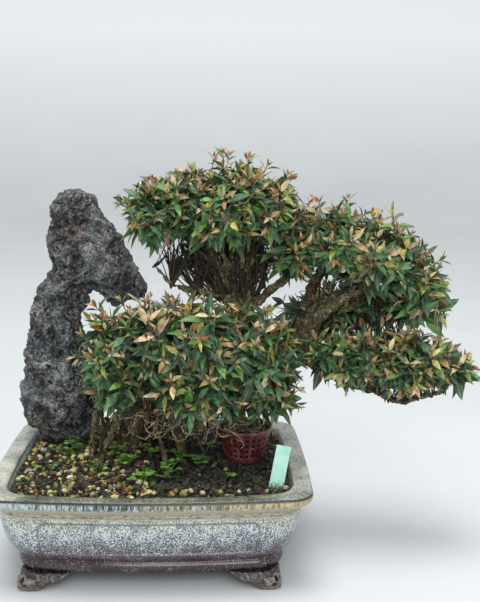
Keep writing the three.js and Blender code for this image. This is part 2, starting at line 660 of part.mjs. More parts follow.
function weedStem(weed, extra = 0) {
  const ground = soilHeight(weed.x, weed.y);
  const points = [[weed.x, weed.y, ground - 7], [weed.x, weed.y, ground + 3.4]];
  return limb(points, [1.1, 1], { sides: 4, steps: 1, uneven: 0, extra });
}

function weedSolid(weed) {
  const random = makeRandom(weed.seed);
  const up = new THREE.Vector3(0, 0, 1);
  const parts = [weedStem(weed)];
  for (let n = 0; n < weed.leaves; n++) {
    const angle = (2 * Math.PI * (n + 0.6 * random())) / weed.leaves;
    const run = new THREE.Vector3(Math.cos(angle), Math.sin(angle), 0.3 + 0.4 * random());
    const root = new THREE.Vector3(weed.x, weed.y, soilHeight(weed.x, weed.y) + 2.4);
    parts.push(solidOf(placedLeaf(root, run, up, 9 + 2 * random(), 7.5, 0.2)));
  }
  return join(parts);
}

// Put the pieces together.
const COLOURS = {
  glaze: { color: 0x9aa3a8, roughness: 0.3, metalness: 0 },
  mesh: { color: 0x2a2a2a, roughness: 0.6, metalness: 0 },
  soil: { color: 0x4a3b28, roughness: 0.95, metalness: 0 },
  lava: { color: 0x4f5052, roughness: 0.9, metalness: 0 },
  bark: { color: 0x5c4d38, roughness: 0.9, metalness: 0 },
  leaf: { color: 0x5f6b3c, roughness: 0.5, metalness: 0 },
  basket: { color: 0x6b322e, roughness: 0.55, metalness: 0 },
  feed: { color: 0x3a2a1e, roughness: 0.95, metalness: 0 },
  label: { color: 0x9fd0bd, roughness: 0.5, metalness: 0 },
  weed: { color: 0x4d7a2c, roughness: 0.6, metalness: 0 },
};

const group = new THREE.Group();

function addMesh(name, geometry, finish) {
  const mesh = new THREE.Mesh(geometry, new THREE.MeshStandardMaterial(COLOURS[finish]));
  mesh.name = name;
  group.add(mesh);
}

const pot = potSolid();
const stone = stoneSolid();
const stoneRoom = stoneSolid(FIT_GAP + 0.15);
const treeRoom = treeSolid(FIT_GAP);
const tree = treeSolid().subtract(stoneRoom);
const basket = basketSolid();
const label = labelSolid();
const weedRooms = WEEDS.map((weed) => weedStem(weed, FIT_GAP));
const soil = soilSolid([stoneRoom, treeRoom, basketRoom(), labelSolid(FIT_GAP), ...weedRooms]);

addMesh("pot", geometryOf(pot), "glaze");
addMesh("drain_screen_left", geometryOf(screenSolid(-DRAIN_X)), "mesh");
addMesh("drain_screen_right", geometryOf(screenSolid(DRAIN_X)), "mesh");
addMesh("soil", geometryOf(soil), "soil");
addMesh("stone", geometryOf(stone), "lava");
addMesh("tree", geometryOf(mainBody(tree)), "bark");
addMesh("basket", geometryOf(basket), "basket");
addMesh("basket_fill", geometryOf(basketFillSolid([treeRoom])), "feed");
addMesh("label", geometryOf(label), "label");

const built = [stoneRoom, pot, soil, basket, label];
for (const weed of WEEDS) {
  const sprig = weedSolid(weed);
  addMesh(weed.name, geometryOf(sprig), "weed");
  built.push(sprig);
}
for (const crown of CROWNS) {
  const foliage = crownSolid(crown, built, treeRoom);
  addMesh(crown.name, geometryOf(foliage), "leaf");
  built.push(foliage);
}

// The origin is the bottom centre of the whole.
const box = new THREE.Box3().setFromObject(group);
group.position.set(-(box.min.x + box.max.x) / 2, -(box.min.y + box.max.y) / 2, -box.min.z);
group.updateMatrixWorld(true);

export default group;
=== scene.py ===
import math
import random

import bpy
import numpy as np
from mathutils import Matrix, Vector, noise
from mathutils.bvhtree import BVHTree


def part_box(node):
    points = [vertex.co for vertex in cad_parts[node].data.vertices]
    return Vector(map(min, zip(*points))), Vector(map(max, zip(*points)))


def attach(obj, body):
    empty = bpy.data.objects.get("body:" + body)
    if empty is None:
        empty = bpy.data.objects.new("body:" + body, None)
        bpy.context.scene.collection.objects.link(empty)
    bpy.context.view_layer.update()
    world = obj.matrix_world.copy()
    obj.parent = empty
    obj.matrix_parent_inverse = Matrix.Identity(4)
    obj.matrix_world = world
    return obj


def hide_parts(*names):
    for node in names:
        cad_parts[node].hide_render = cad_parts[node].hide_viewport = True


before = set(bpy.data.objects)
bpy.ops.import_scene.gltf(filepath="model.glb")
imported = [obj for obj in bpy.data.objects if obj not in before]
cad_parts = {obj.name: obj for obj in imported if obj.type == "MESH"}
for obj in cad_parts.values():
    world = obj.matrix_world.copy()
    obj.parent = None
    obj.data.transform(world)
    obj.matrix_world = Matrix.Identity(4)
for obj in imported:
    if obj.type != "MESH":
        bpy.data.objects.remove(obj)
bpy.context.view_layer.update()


# Pot: slip-cast stoneware under a runny grey-blue glaze that breaks over an iron brown one.
# The sides bow out and carry sunk panels, and the rim is a flat band with a dark edge.
MM = 0.001
# How far each side bows, in millimetres. Inside, the long walls bow more, so the rim is narrowest
# half way along them.
SHORT_SIDE_BOW = 2.8
LONG_SIDE_BOW = 9
INSIDE_BOW = 12
# Outlines up the wall and then down inside it: height, inset from the rim and corner radius.
POT_OUTSIDE = [
    (14.2, 32, 20), (14.2, 28.4, 21), (14.8, 25.6, 22), (16.6, 23.9, 23), (19.3, 23.3, 23),
    (22, 23.6, 23), (23.9, 24.8, 22.5), (24.9, 26, 22), (26.2, 25.2, 22.5), (28.6, 22.8, 23.5),
    (31.6, 20.2, 24), (34, 18.4, 25), (35, 17.8, 25), (36.2, 17.1, 25), (39.5, 15.6, 25.5),
    (44.5, 13.6, 26), (50, 11.9, 26.5), (56, 10.5, 27),
    (62, 9.7, 27), (66, 9.4, 27), (67.2, 9.3, 27), (68.4, 9.3, 27), (71.6, 9.2, 27), (73, 8.9, 27),
    (75.2, 8.8, 27), (76.6, 7.8, 26), (78.6, 5.6, 23), (81, 3, 20), (83.4, 1, 18), (86, 0.2, 17),
    (89, 0, 17), (90.8, 0.5, 17), (91.6, 1.9, 16), (91.9, 4, 15),
]
POT_INSIDE = [
    (91.9, 9, 15.5), (91.6, 13.5, 16.5), (90.9, 16, 17), (89.6, 17.8, 17), (87, 19, 16), (70, 20.3, 15),
    (52, 21.5, 14), (31, 31.5, 14), (24, 43, 12),
]
PANEL_HALF = (96, 64)
PANEL_LOW = 35
PANEL_HIGH = 67.5
PANEL_CORNER = 7
PANEL_DEPTH = 1.6
PANEL_LIP = 0.7
DRAIN_X = 62
DRAIN_RADIUS = 12
SEAM_HEIGHT = 73.4
POT_FACES_KEPT = 0.4

pot_low, pot_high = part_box("pot")
pot_middle = (pot_low + pot_high) / 2
rim_half = ((pot_high - pot_low) / 2 / MM).to_2d() - Vector((SHORT_SIDE_BOW, LONG_SIDE_BOW))


def spot(x, y, z):
    """A place given in millimetres from under the middle of the pot, in the frame's metres."""
    return Vector((pot_middle.x + x * MM, pot_middle.y + y * MM, pot_low.z + z * MM))


ORIGIN = np.array(spot(0, 0, 0))


def clear_selection():
    """Leave nothing selected, and no piece in edit mode."""
    if bpy.context.object and bpy.context.object.mode == "EDIT":
        bpy.ops.object.mode_set(mode="OBJECT")
    bpy.ops.object.select_all(action="DESELECT")


def take(piece):
    """Select one piece alone and make it the active one."""
    clear_selection()
    piece.select_set(True)
    bpy.context.view_layer.objects.active = piece
    return piece


def open_mesh():
    """Go into edit mode with the whole mesh selected."""
    bpy.ops.object.mode_set(mode="EDIT")
    bpy.ops.mesh.select_all(action="SELECT")


def apply_modifier(piece, kind, **settings):
    """Give a piece a modifier and apply it."""
    take(piece)
    modifier = piece.modifiers.new(kind.title(), kind)
    for name, value in settings.items():
        setattr(modifier, name, value)
    bpy.ops.object.modifier_apply(modifier=modifier.name)


def join(pieces, name):
    """Make several pieces one, and name it."""
    take(pieces[0])
    for piece in pieces[1:]:
        piece.select_set(True)
    if len(pieces) > 1:
        bpy.ops.object.join()
    piece = bpy.context.object
    piece.name = name
    bpy.ops.object.transform_apply(location=True, rotation=True, scale=True)
    return piece


def dress(piece, material):
    """Give a piece one material in place of what it had."""
    piece.data.materials.clear()
    piece.data.materials.append(material)


def settle(piece, material, slot, *replaced):
    """Dress a finished piece, fix it to the object, and hide the nodes that it stands for."""
    dress(piece, material)
    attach(piece, "root")
    if replaced:
        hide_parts(*replaced)


def places_of(piece):
    """The points of a piece in millimetres round the pot, and their normals."""
    mesh = piece.data
    places = np.empty(len(mesh.vertices) * 3, np.float32)
    normals = np.empty(len(mesh.vertices) * 3, np.float32)
    mesh.vertices.foreach_get("co", places)
    mesh.vertex_normals.foreach_get("vector", normals)
    return (places.reshape(-1, 3) - ORIGIN) / MM, normals.reshape(-1, 3)


def raise_skin(piece, heights, mark=None):
    """Move each point along its normal by a height in millimetres, and keep the heights under a name."""
    places, normals = places_of(piece)
    heights = np.asarray(heights, np.float32)
    moved = ((places + normals * heights[:, None]) * MM + ORIGIN).astype(np.float32)
    piece.data.vertices.foreach_set("co", moved.ravel())
    piece.data.update()
    if mark:
        mark_points(piece, mark, heights)


def mark_points(piece, mark, values):
    """Keep a number for each point of a piece as an attribute, for its material to read."""
    kept = piece.data.attributes.new(mark, "FLOAT", "POINT")
    kept.data.foreach_set("value", np.asarray(values, np.float32))


def linear(code):
    """The linear colour of an sRGB hex code."""
    parts = [int(code[i : i + 2], 16) / 255 for i in (1, 3, 5)]
    return [c / 12.92 if c < 0.04045 else ((c + 0.055) / 1.055) ** 2.4 for c in parts] + [1.0]


def node(tree, kind, out, inputs=None, stops=None, **settings):
    """Add a shader node with its settings, values and links, and give one of its outputs."""
    made = tree.nodes.new("ShaderNode" + kind)
    for name, value in settings.items():
        setattr(made, name, value)
    for key, value in (inputs or {}).items():
        if isinstance(value, bpy.types.NodeSocket):
            tree.links.new(value, made.inputs[key])
        else:
            made.inputs[key].default_value = linear(value) if isinstance(value, str) else value
    if stops:
        ramp = made.color_ramp.elements
        while len(ramp) < len(stops):
            ramp.new(0.5)
        for element, (position, code) in zip(ramp, stops):
            element.position = position
            element.color = linear(code)
    return made.outputs[out]


def start_material(name, roughness, ior=1.5):
    """A new material, its tree, and places in millimetres round the pot to pattern it by."""
    material = bpy.data.materials.new(name)
    material.use_nodes = True
    tree = material.node_tree
    shader = tree.nodes["Principled BSDF"]
    shader.inputs["Roughness"].default_value = roughness
    shader.inputs["IOR"].default_value = ior
    place = node(tree, "TexCoord", "Object")
    inputs = {"Vector": place, "Location": [-c / MM for c in ORIGIN], "Scale": [1 / MM] * 3}
    return material, tree, node(tree, "Mapping", "Vector", inputs)


def finish_material(material, colour, relief=None, depth=0):
    """Link a colour, and relief of a depth in millimetres, to a material's shader."""
    tree = material.node_tree
    shader = tree.nodes["Principled BSDF"]
    tree.links.new(colour, shader.inputs["Base Color"])
    if relief:
        bump = node(tree, "Bump", "Normal", {"Height": relief, "Distance": depth * MM})
        tree.links.new(bump, shader.inputs["Normal"])
    return material


# Stoneware glaze, fired glossy: a milky blue one crawls into specks over purple brown, and pools
# maroon on the base bead. Up the wall it closes to cream, and on the rim it ran in rust and blue.
def glaze_material():
    material, tree, where = start_material("reduction fired glaze", 0.3, 1.52)
    height = node(tree, "SeparateXYZ", "Z", {0: where})
    along = node(tree, "SeparateXYZ", "X", {0: where})
    clouds = node(tree, "TexNoise", "Fac", {"Vector": where, "Scale": 1 / 30, "Detail": 4})
    level = node(tree, "Math", 0, {0: clouds, 1: 16.0, 2: height}, operation="MULTIPLY_ADD")
    share = node(tree, "MapRange", "Result", {"Value": level, "From Min": 22, "From Max": 92})
    ground = node(
        tree, "ValToRGB", "Color", {0: share},
        stops=[(0.0, "#1c0c10"), (0.1, "#2e181e"), (0.2, "#453539"), (0.34, "#4c454c"), (0.52, "#56606a"),
               (0.7, "#6e7b7b"), (0.84, "#7d7c6c"), (1.0, "#8f8f7a")],
    )
    drift = node(tree, "TexNoise", "Color", {"Vector": where, "Scale": 1 / 1.1, "Detail": 2})
    crawl = node(tree, "VectorMath", 0, {0: drift, 1: (1.1, 1.1, 1.1), 2: where}, operation="MULTIPLY_ADD")
    spots = node(tree, "TexVoronoi", "Distance", {"Vector": crawl, "Scale": 1 / 1.35})
    patches = node(tree, "TexNoise", "Fac", {"Vector": where, "Scale": 1 / 11, "Detail": 3})
    amount = node(
        tree, "MapRange", "Result",
        {"Value": level, "From Min": 30, "From Max": 66, "To Min": -0.06, "To Max": 0.24},
    )
    amount = node(tree, "Math", 0, {0: patches, 1: 0.52, 2: amount}, operation="MULTIPLY_ADD")
    clear = node(tree, "Math", 0, {0: amount, 1: spots}, operation="SUBTRACT")
    spotted = node(
        tree, "MapRange", "Result", {"Value": clear, "From Min": -0.14, "From Max": 0.12},
        interpolation_type="SMOOTHSTEP",
    )
    pale = node(
        tree, "ValToRGB", "Color", {0: share},
        stops=[(0.1, "#a2a4aa"), (0.3, "#c8ced3"), (0.55, "#cbd5d5"), (0.75, "#ccd2c9"), (0.9, "#c9c5b1")],
    )
    body = node(tree, "Mix", 2, {0: spotted, 6: ground, 7: pale}, data_type="RGBA")
    upright = node(tree, "Mapping", "Vector", {"Vector": where, "Scale": (1.0, 1.0, 0.12)})
    streaks = node(
        tree, "TexNoise", "Fac", {"Vector": upright, "Scale": 1 / 1.9, "Detail": 4, "Roughness": 0.75}
    )
    broad = node(tree, "TexNoise", "Fac", {"Vector": where, "Scale": 1 / 60, "Detail": 2})
    dripped = node(
        tree, "MapRange", "Result",
        {"Value": along, "From Min": -105, "From Max": -50, "To Min": 0.025, "To Max": -0.045},
    )
    dripped = node(tree, "Math", 0, {0: streaks, 1: dripped}, operation="ADD")
    blue = node(
        tree, "ValToRGB", "Color", {0: dripped},
        stops=[(0.34, "#15191a"), (0.44, "#4b5657"), (0.53, "#9fb0af"), (0.62, "#c2cdc6"), (0.74, "#5f655c")],
    )
    rust = node(
        tree, "ValToRGB", "Color", {0: streaks},
        stops=[(0.34, "#43382a"), (0.44, "#85714b"), (0.53, "#b5a77f"), (0.62, "#c9bf9d"), (0.74, "#93692f")],
    )
    side = node(tree, "Math", 0, {0: broad, 1: 160.0, 2: along}, operation="MULTIPLY_ADD")
    rusty = node(tree, "MapRange", "Result", {"Value": side, "From Min": 60, "From Max": 190})
    band = node(tree, "Mix", 2, {0: rusty, 6: blue, 7: rust}, data_type="RGBA")
    wander = node(tree, "Math", 0, {0: streaks, 1: 5.0, 2: height}, operation="MULTIPLY_ADD")
    foot = node(
        tree, "MapRange", "Result", {"Value": wander, "From Min": 87.5, "From Max": 83.5},
        interpolation_type="SMOOTHSTEP",
    )
    band = node(tree, "Mix", 2, {0: foot, 6: band, 7: "#aaa590"}, data_type="RGBA")
    flat_lying = node(tree, "Mapping", "Vector", {"Vector": where, "Scale": (0.45, 0.45, 1.0)})
    scabs = node(
        tree, "TexNoise", "Fac", {"Vector": flat_lying, "Scale": 1 / 2.2, "Detail": 5, "Roughness": 0.75}
    )
    scabs = node(
        tree, "MapRange", "Result", {"Value": scabs, "From Min": 0.49, "From Max": 0.6, "To Max": 0.9}
    )
    scabby = node(tree, "MapRange", "Result", {"Value": height, "From Min": 81, "From Max": 76.5})
    scabs = node(tree, "Math", 0, {0: scabs, 1: scabby}, operation="MULTIPLY")
    band = node(tree, "Mix", 2, {0: scabs, 6: band, 7: "#5d4c38"}, data_type="RGBA")
    run_down = node(tree, "MapRange", "Result", {"Value": wander, "From Min": 72, "From Max": 76})
    seam = node(tree, "Math", 0, {0: height, 1: SEAM_HEIGHT}, operation="SUBTRACT")
    seam = node(tree, "Math", 0, {0: seam}, operation="ABSOLUTE")
    seam = node(tree, "MapRange", "Result", {"Value": seam, "From Min": 0.7, "From Max": 0.2, "To Max": 0.55})
    edge = node(
        tree, "MapRange", "Result", {"Value": wander, "From Min": 90.6, "From Max": 92.8},
        interpolation_type="SMOOTHSTEP",
    )
    mottling = node(
        tree, "TexNoise", "Fac", {"Vector": where, "Scale": 1 / 1.9, "Detail": 5, "Roughness": 0.8}
    )
    mottling = node(tree, "Math", 0, {0: clouds, 1: 0.5, 2: mottling}, operation="MULTIPLY_ADD")
    top = node(
        tree, "ValToRGB", "Color", {0: mottling},
        stops=[(0.6, "#171a16"), (0.7, "#43483b"), (0.79, "#6d7060"), (0.9, "#9c997d")],
    )
    out_side = node(tree, "Math", 0, {0: along}, operation="ABSOLUTE")
    side_rim = node(
        tree, "MapRange", "Result",
        {"Value": out_side, "From Min": 104, "From Max": 128, "To Max": 0.8},
    )
    side_top = node(
        tree, "ValToRGB", "Color", {0: mottling},
        stops=[(0.58, "#3f443f"), (0.68, "#8a8e83"), (0.8, "#b9bbab"), (0.9, "#d8d5bd")],
    )
    top = node(tree, "Mix", 2, {0: side_rim, 6: top, 7: side_top}, data_type="RGBA")
    facing = node(tree, "SeparateXYZ", "Z", {0: node(tree, "NewGeometry", "Normal")})
    level_skin = node(tree, "MapRange", "Result", {"Value": facing, "From Min": 0.72, "From Max": 0.95})
    above = node(tree, "MapRange", "Result", {"Value": height, "From Min": 85, "From Max": 90})
    on_top = node(tree, "Math", 0, {0: level_skin, 1: above}, operation="MULTIPLY")
    thin = node(tree, "Attribute", "Fac", attribute_name="glaze_break")
    thin = node(tree, "Math", 0, {0: thin, 1: 0.8}, operation="MULTIPLY")
    layers = [(run_down, band), (seam, "#5a5347"), (edge, "#0e1010"), (on_top, top), (thin, "#4a474f")]
    for share, colour in layers:
        body = node(tree, "Mix", 2, {0: share, 6: body, 7: colour}, data_type="RGBA")
    shader = tree.nodes["Principled BSDF"]
    dulled = node(
        tree, "MapRange", "Result",
        {"Value": height, "From Min": 25, "From Max": 34, "To Min": 0.1, "To Max": 0.32},
    )
    tree.links.new(dulled, shader.inputs["Roughness"])
    shader.inputs["Coat Weight"].default_value = 0.15
    shader.inputs["Coat Roughness"].default_value = 0.1
    relief = node(tree, "Math", 0, {0: spotted, 1: patches}, operation="ADD")
    return finish_material(material, body, relief, 0.22)


SIDE_SHARES = [0.1, 0.3, 0.5, 0.68, 0.79, 0.84, 0.865, 0.885, 0.905, 0.925, 0.955]
CORNER_STEPS = 8


def pot_outline(inset, corner, long_bow):
    """Points of a level outline in millimetres: round corners joined by bowed sides."""
    half = rim_half - Vector((inset, inset))
    run = half - Vector((corner, corner))
    shares = [-1] + [-s for s in reversed(SIDE_SHARES)] + SIDE_SHARES
    points = []
    for quarter in range(4):
        out, along = (half.x, run.y) if quarter % 2 == 0 else (half.y, run.x)
        turn = Matrix.Rotation(quarter * math.pi / 2, 2)
        for share in shares:
            points.append(turn @ Vector((out, along * share)))
        for n in range(CORNER_STEPS):
            angle = n / CORNER_STEPS * math.pi / 2
            curve = Vector((math.cos(angle), math.sin(angle))) * corner
            points.append(turn @ (Vector((out - corner, along)) + curve))
    for p in points:
        bow = Vector((1 - (p.y / half.y) ** 2, 1 - (p.x / half.x) ** 2))
        p += Vector((SHORT_SIDE_BOW * bow.x * p.x / half.x, long_bow * bow.y * p.y / half.y))
    return points


def pot_body():
    """The body: a ring extruded up the wall and down inside, each ring set to its outline, then smoothed."""
    count = 4 * (1 + 2 * len(SIDE_SHARES) + CORNER_STEPS)
    clear_selection()
    bpy.ops.mesh.primitive_circle_add(vertices=count, radius=0.1, location=(0, 0, 0))
    body = bpy.context.object
    open_mesh()
    rings = [(z, pot_outline(inset, corner, LONG_SIDE_BOW)) for z, inset, corner in POT_OUTSIDE]
    rings += [(z, pot_outline(inset, corner, INSIDE_BOW)) for z, inset, corner in POT_INSIDE]
    for _ in rings[1:]:
        bpy.ops.mesh.extrude_region_move(TRANSFORM_OT_translate={"value": (0, 0, MM)})
    bpy.ops.object.mode_set(mode="OBJECT")
    places = [spot(p.x, p.y, z) for z, ring in rings for p in ring]
    body.data.vertices.foreach_set("co", [c for place in places for c in place])
    open_mesh()
    bpy.ops.mesh.fill_holes(sides=0)
    bpy.ops.mesh.normals_make_consistent(inside=False)
    bpy.ops.object.mode_set(mode="OBJECT")
    apply_modifier(body, "SUBSURF", levels=2, render_levels=2)
    return body


def sink_panels(body):
    """Press the four panels into the outer wall, with a raised lip that the glaze runs thin over."""
    places, normals = places_of(body)
    x, y, z = places.T
    front = normals[:, 1] * np.sign(y) > 0.6
    side = normals[:, 0] * np.sign(x) > 0.6
    across = np.where(front, np.abs(x) - PANEL_HALF[0], np.abs(y) - PANEL_HALF[1]) + PANEL_CORNER
    reach = (PANEL_HIGH - PANEL_LOW) / 2
    up = np.abs(z - PANEL_LOW - reach) - reach + PANEL_CORNER
    outside = np.hypot(np.maximum(across, 0), np.maximum(up, 0))
    outside += np.minimum(np.maximum(across, up), 0) - PANEL_CORNER
    outside = np.where(front | side, outside, 9.0)
    sunk = np.clip(-(outside + 0.3) / 1.4, 0, 1)
    lip = np.exp(-((outside - 0.4) ** 2) / 0.7)
    heights = PANEL_LIP * lip - PANEL_DEPTH * sunk**2 * (3 - 2 * sunk)
    raise_skin(body, heights)
    mark_points(body, "glaze_break", lip)


glaze = glaze_material()
pot_piece = pot_body()
sink_panels(pot_piece)
for drain in (-DRAIN_X, DRAIN_X):
    clear_selection()
    bpy.ops.mesh.primitive_cylinder_add(
        vertices=48, radius=DRAIN_RADIUS * MM, depth=20 * MM, location=spot(drain, 0, 20)
    )
    hole = bpy.context.object
    apply_modifier(pot_piece, "BOOLEAN", operation="DIFFERENCE", object=hole, solver="MANIFOLD")
    bpy.data.objects.remove(hole)
apply_modifier(pot_piece, "DECIMATE", ratio=POT_FACES_KEPT)
pot_piece = join([pot_piece], "glazed_pot")
bpy.ops.object.shade_smooth_by_angle(angle=math.radians(50))
settle(pot_piece, glaze, "glaze", "pot")


# Feet: four corner brackets luted under the pot, each leg carved with scrolls and glazed iron brown.
# Their blocks are those under the frame's pot, softened, with rolled lines laid on their faces.
FOOT_LINE = 1.25
FOOT_TOP = 14.6
FOOT_FRONT = 94
FOOT_SIDE = 117
FOOT_LEAN = 6 / 11
FOOT_VOXEL = 0.8 * MM
FOOT_FACES_KEPT = 0.24


def smooth(piece):
    """Shade a piece smooth all over."""
    take(piece)
    bpy.ops.object.shade_smooth()


def copy_of(node_name, name):
    """A copy of a node's solid with its triangles welded together, to be worked into a finer piece."""
    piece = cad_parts[node_name].copy()
    piece.data = piece.data.copy()
    piece.name = name
    for key in list(piece.keys()):
        del piece[key]
    bpy.context.collection.objects.link(piece)
    piece.hide_render = False
    piece.hide_viewport = False
    take(piece)
    open_mesh()
    bpy.ops.mesh.remove_doubles(threshold=0.02 * MM)
    bpy.ops.object.mode_set(mode="OBJECT")
    return piece


def scroll(x, z, radius, turns, start, way):
    """Points of a spiral on a foot's face, from its rim in to its eye."""
    steps = int(turns * 14)
    points = []
    for n in range(steps + 1):
        angle = start + way * n / steps * turns * 2 * math.pi
        reach = radius * (1 - 0.85 * n / steps)
        points.append((x + reach * math.cos(angle), z + reach * math.sin(angle)))
    return points


def rolled(name, lines, roundness):
    """Round lines through lists of (place, radius in millimetres), as one piece with closed ends."""
    curve = bpy.data.curves.new(name, "CURVE")
    curve.dimensions = "3D"
    curve.bevel_depth = MM
    curve.bevel_resolution = roundness
    curve.use_fill_caps = True
    for line in lines:
        spline = curve.splines.new("POLY")
        spline.points.add(len(line) - 1)
        spline.points.foreach_set("co", [c for place, _ in line for c in (*place, 1)])
        spline.points.foreach_set("radius", [radius for _, radius in line])
    piece = bpy.data.objects.new(name, curve)
    bpy.context.collection.objects.link(piece)
    take(piece)
    bpy.ops.object.convert(target="MESH")
    return bpy.context.object


def faces_of(piece):
    """A piece's faces, ready to be measured from or struck by rays."""
    mesh = piece.data
    return BVHTree.FromPolygons([v.co for v in mesh.vertices], [p.vertices for p in mesh.polygons])


def foot_lines():
    """The carved lines of all four feet, front faces and side faces."""
    front = [
        scroll(106.0, 7.6, 4.2, 1.5, 2.6, 1), scroll(92.5, 11.4, 2.8, 1.2, 0.6, -1),
        [(113.2, 13.4), (115.2, 9.2), (115.2, 5.4), (112, 2.0), (107, 1.0), (100.4, 1.0), (96, 3.6),
         (90.6, 7.4), (83, 8.9), (77, 11.8), (72, 15)],
        [(112, 14), (110, 10.5), (112, 6)],
        [(101, 12.6), (97, 14), (100, 9)],
        [(84, 14), (88, 10.6), (86, 9.4)],
    ]
    lines = []
    for across in (1, -1):
        for towards in (1, -1):
            for line in front:
                lean = [max(z - 6, 0) * FOOT_LEAN for _, z in line]
                on_front, on_side = [], []
                for (x, z), back in zip(line, lean):
                    on_front.append((across * x, towards * (back + 0.5 - FOOT_FRONT), z))
                    out = FOOT_SIDE - 0.9 - max(back - 3.5, 0)
                    on_side.append((across * out, towards * (FOOT_SIDE - FOOT_FRONT - 2 - x), z))
                lines += [[(spot(*p), FOOT_LINE) for p in places] for places in (on_front, on_side)]
    return lines


def iron_glaze_material():
    """Iron brown glaze: glossy, with painted shade near black in the hollows, and paler on the raised lines,
    partly worn glaze and partly painted highlight.
    """
    material, tree, where = start_material("iron brown glaze", 0.2, 1.52)
    wear = node(tree, "TexNoise", "Fac", {"Vector": where, "Scale": 1 / 3, "Detail": 5, "Roughness": 0.7})
    raised = node(tree, "Attribute", "Fac", attribute_name="carving")
    # Painted light: the higher a point stands off the block, the paler it is painted, so hollows get painted
    # shade and raised lines painted highlight.
    lit = node(tree, "Math", 0, {0: raised, 1: 0.2, 2: wear}, operation="MULTIPLY_ADD")
    colour = node(
        tree, "ValToRGB", "Color", {0: lit},
        stops=[(0.36, "#0c0a09"), (0.5, "#2b2825"), (0.6, "#4a4743"), (0.72, "#74716a"), (0.84, "#9a968c")],
    )
    height = node(tree, "SeparateXYZ", "Z", {0: where})
    bronze = node(tree, "Math", 0, {0: wear, 1: -16.0, 2: height}, operation="MULTIPLY_ADD")
    bronze = node(
        tree, "MapRange", "Result", {"Value": bronze, "From Min": -1, "From Max": -6, "To Max": 0.6}
    )
    colour = node(tree, "Mix", 2, {0: bronze, 6: colour, 7: "#5f4526"}, data_type="RGBA")
    return finish_material(material, colour, wear, 1.2)


blocks = copy_of("pot", "foot_blocks")
open_mesh()
bpy.ops.mesh.bisect(plane_co=spot(0, 0, FOOT_TOP), plane_no=(0, 0, 1), use_fill=True, clear_outer=True)
bpy.ops.object.mode_set(mode="OBJECT")
block_faces = faces_of(blocks)
feet_piece = join([blocks, rolled("foot_scrolls", foot_lines(), 2)], "scroll_feet")
apply_modifier(feet_piece, "REMESH", mode="VOXEL", voxel_size=FOOT_VOXEL)
apply_modifier(feet_piece, "SMOOTH", factor=0.5, iterations=1)
apply_modifier(feet_piece, "DECIMATE", ratio=FOOT_FACES_KEPT)
# How far each point stands off the block, kept for the glaze to paint shade in the hollows and highlights on
# the raised lines.
raised = []
for vertex in feet_piece.data.vertices:
    touch, normal, _, distance = block_faces.find_nearest(vertex.co)
    raised.append(math.copysign(distance / MM, (vertex.co - touch).dot(normal)))
mark_points(feet_piece, "carving", np.clip(raised, -0.3, 1))
smooth(feet_piece)
settle(feet_piece, iron_glaze_material(), "glaze", "pot")


# Drain screens: squares of black plastic mesh under the soil, over the two drain holes.
# They are moulded, so they keep the frame's shape and get a dusty, slightly pebbled skin.
def mottled_material(name, roughness, size, stops, depth, detail=4, harshness=0.7, grain=None, ior=1.5):
    """A material mottled by noise of one size. Its relief is that noise, or a grain of another size."""
    material, tree, where = start_material(name, roughness, ior)
    inputs = {"Vector": where, "Scale": 1 / size, "Detail": detail, "Roughness": harshness}
    mottling = node(tree, "TexNoise", "Fac", inputs)
    colour = node(tree, "ValToRGB", "Color", {0: mottling}, stops=stops)
    relief = node(tree, "TexNoise", "Fac", {"Vector": where, "Scale": 1 / grain}) if grain else mottling
    return finish_material(material, colour, relief, depth)


# Moulded plastic: smooth and faintly pebbled, with grey brown dust in patches.
screen_plastic = mottled_material(
    "moulded black plastic", 0.55, 5, [(0.45, "#1d1e1f"), (0.7, "#4a4238")], 0.05,
    harshness=0.5, grain=0.8, ior=1.46,
)
for name in ("drain_screen_left", "drain_screen_right"):
    dress(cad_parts[name], screen_plastic)


# Soil: loam packed to just under the rim and mounded round the roots, damp, dark and crumbly.
# Loose grains of grit are laid over it further down.
SOIL_VOXEL = 3.4 * MM


def refined(node_name, name, height_of, voxel, rough_voxel=None, smoothing=0, faces_kept=1):
    """A node's solid as a finer piece, smoothed if asked, its skin raised by a rule for each place."""
    piece = copy_of(node_name, name)
    if rough_voxel:
        apply_modifier(piece, "REMESH", mode="VOXEL", voxel_size=rough_voxel)
        apply_modifier(piece, "SMOOTH", factor=0.5, iterations=smoothing)
    apply_modifier(piece, "REMESH", mode="VOXEL", voxel_size=voxel)
    raise_skin(piece, [height_of(Vector(p)) for p in places_of(piece)[0]], "height")
    if faces_kept < 1:
        apply_modifier(piece, "DECIMATE", ratio=faces_kept)
    smooth(piece)
    return piece


def crumb_height(p):
    """How far the loam stands out, in millimetres."""
    return 0.9 * noise.noise(p / 4) - 0.3


# Damp loam: nearly black and crumbly, with brown and mossy crumbs.
loam = mottled_material(
    "damp loam", 0.92, 2.8, [(0.34, "#040302"), (0.5, "#0e0b07"), (0.64, "#20170d"), (0.76, "#2c2c12")], 1.2,
    detail=5,
)
soil_piece = refined("soil", "soil_bed", crumb_height, SOIL_VOXEL)
settle(soil_piece, loam, "soil", "soil")


# Stone: a standing piece of grey lava, blown full of bubbles, with a head that leans right.
# It is set in the soil at the back left, with its foot over the rim.
STONE_ROUGH_VOXEL = 3 * MM
STONE_SMOOTHING = 6
STONE_VOXEL = 1.3 * MM
STONE_FACES_KEPT = 0.68


def crest(p, size):
    """Sharp crests of one size, from -1 in the hollows to 1 on the crests."""
    return 1 - 3.2 * abs(noise.noise(p / size))


def bubble(p, size):
    """Round pits at scattered places, from 0 outside a pit to 1 at its floor."""
    return max(0.0, 1 - noise.voronoi(p / size)[0][0] / 0.42) ** 0.5


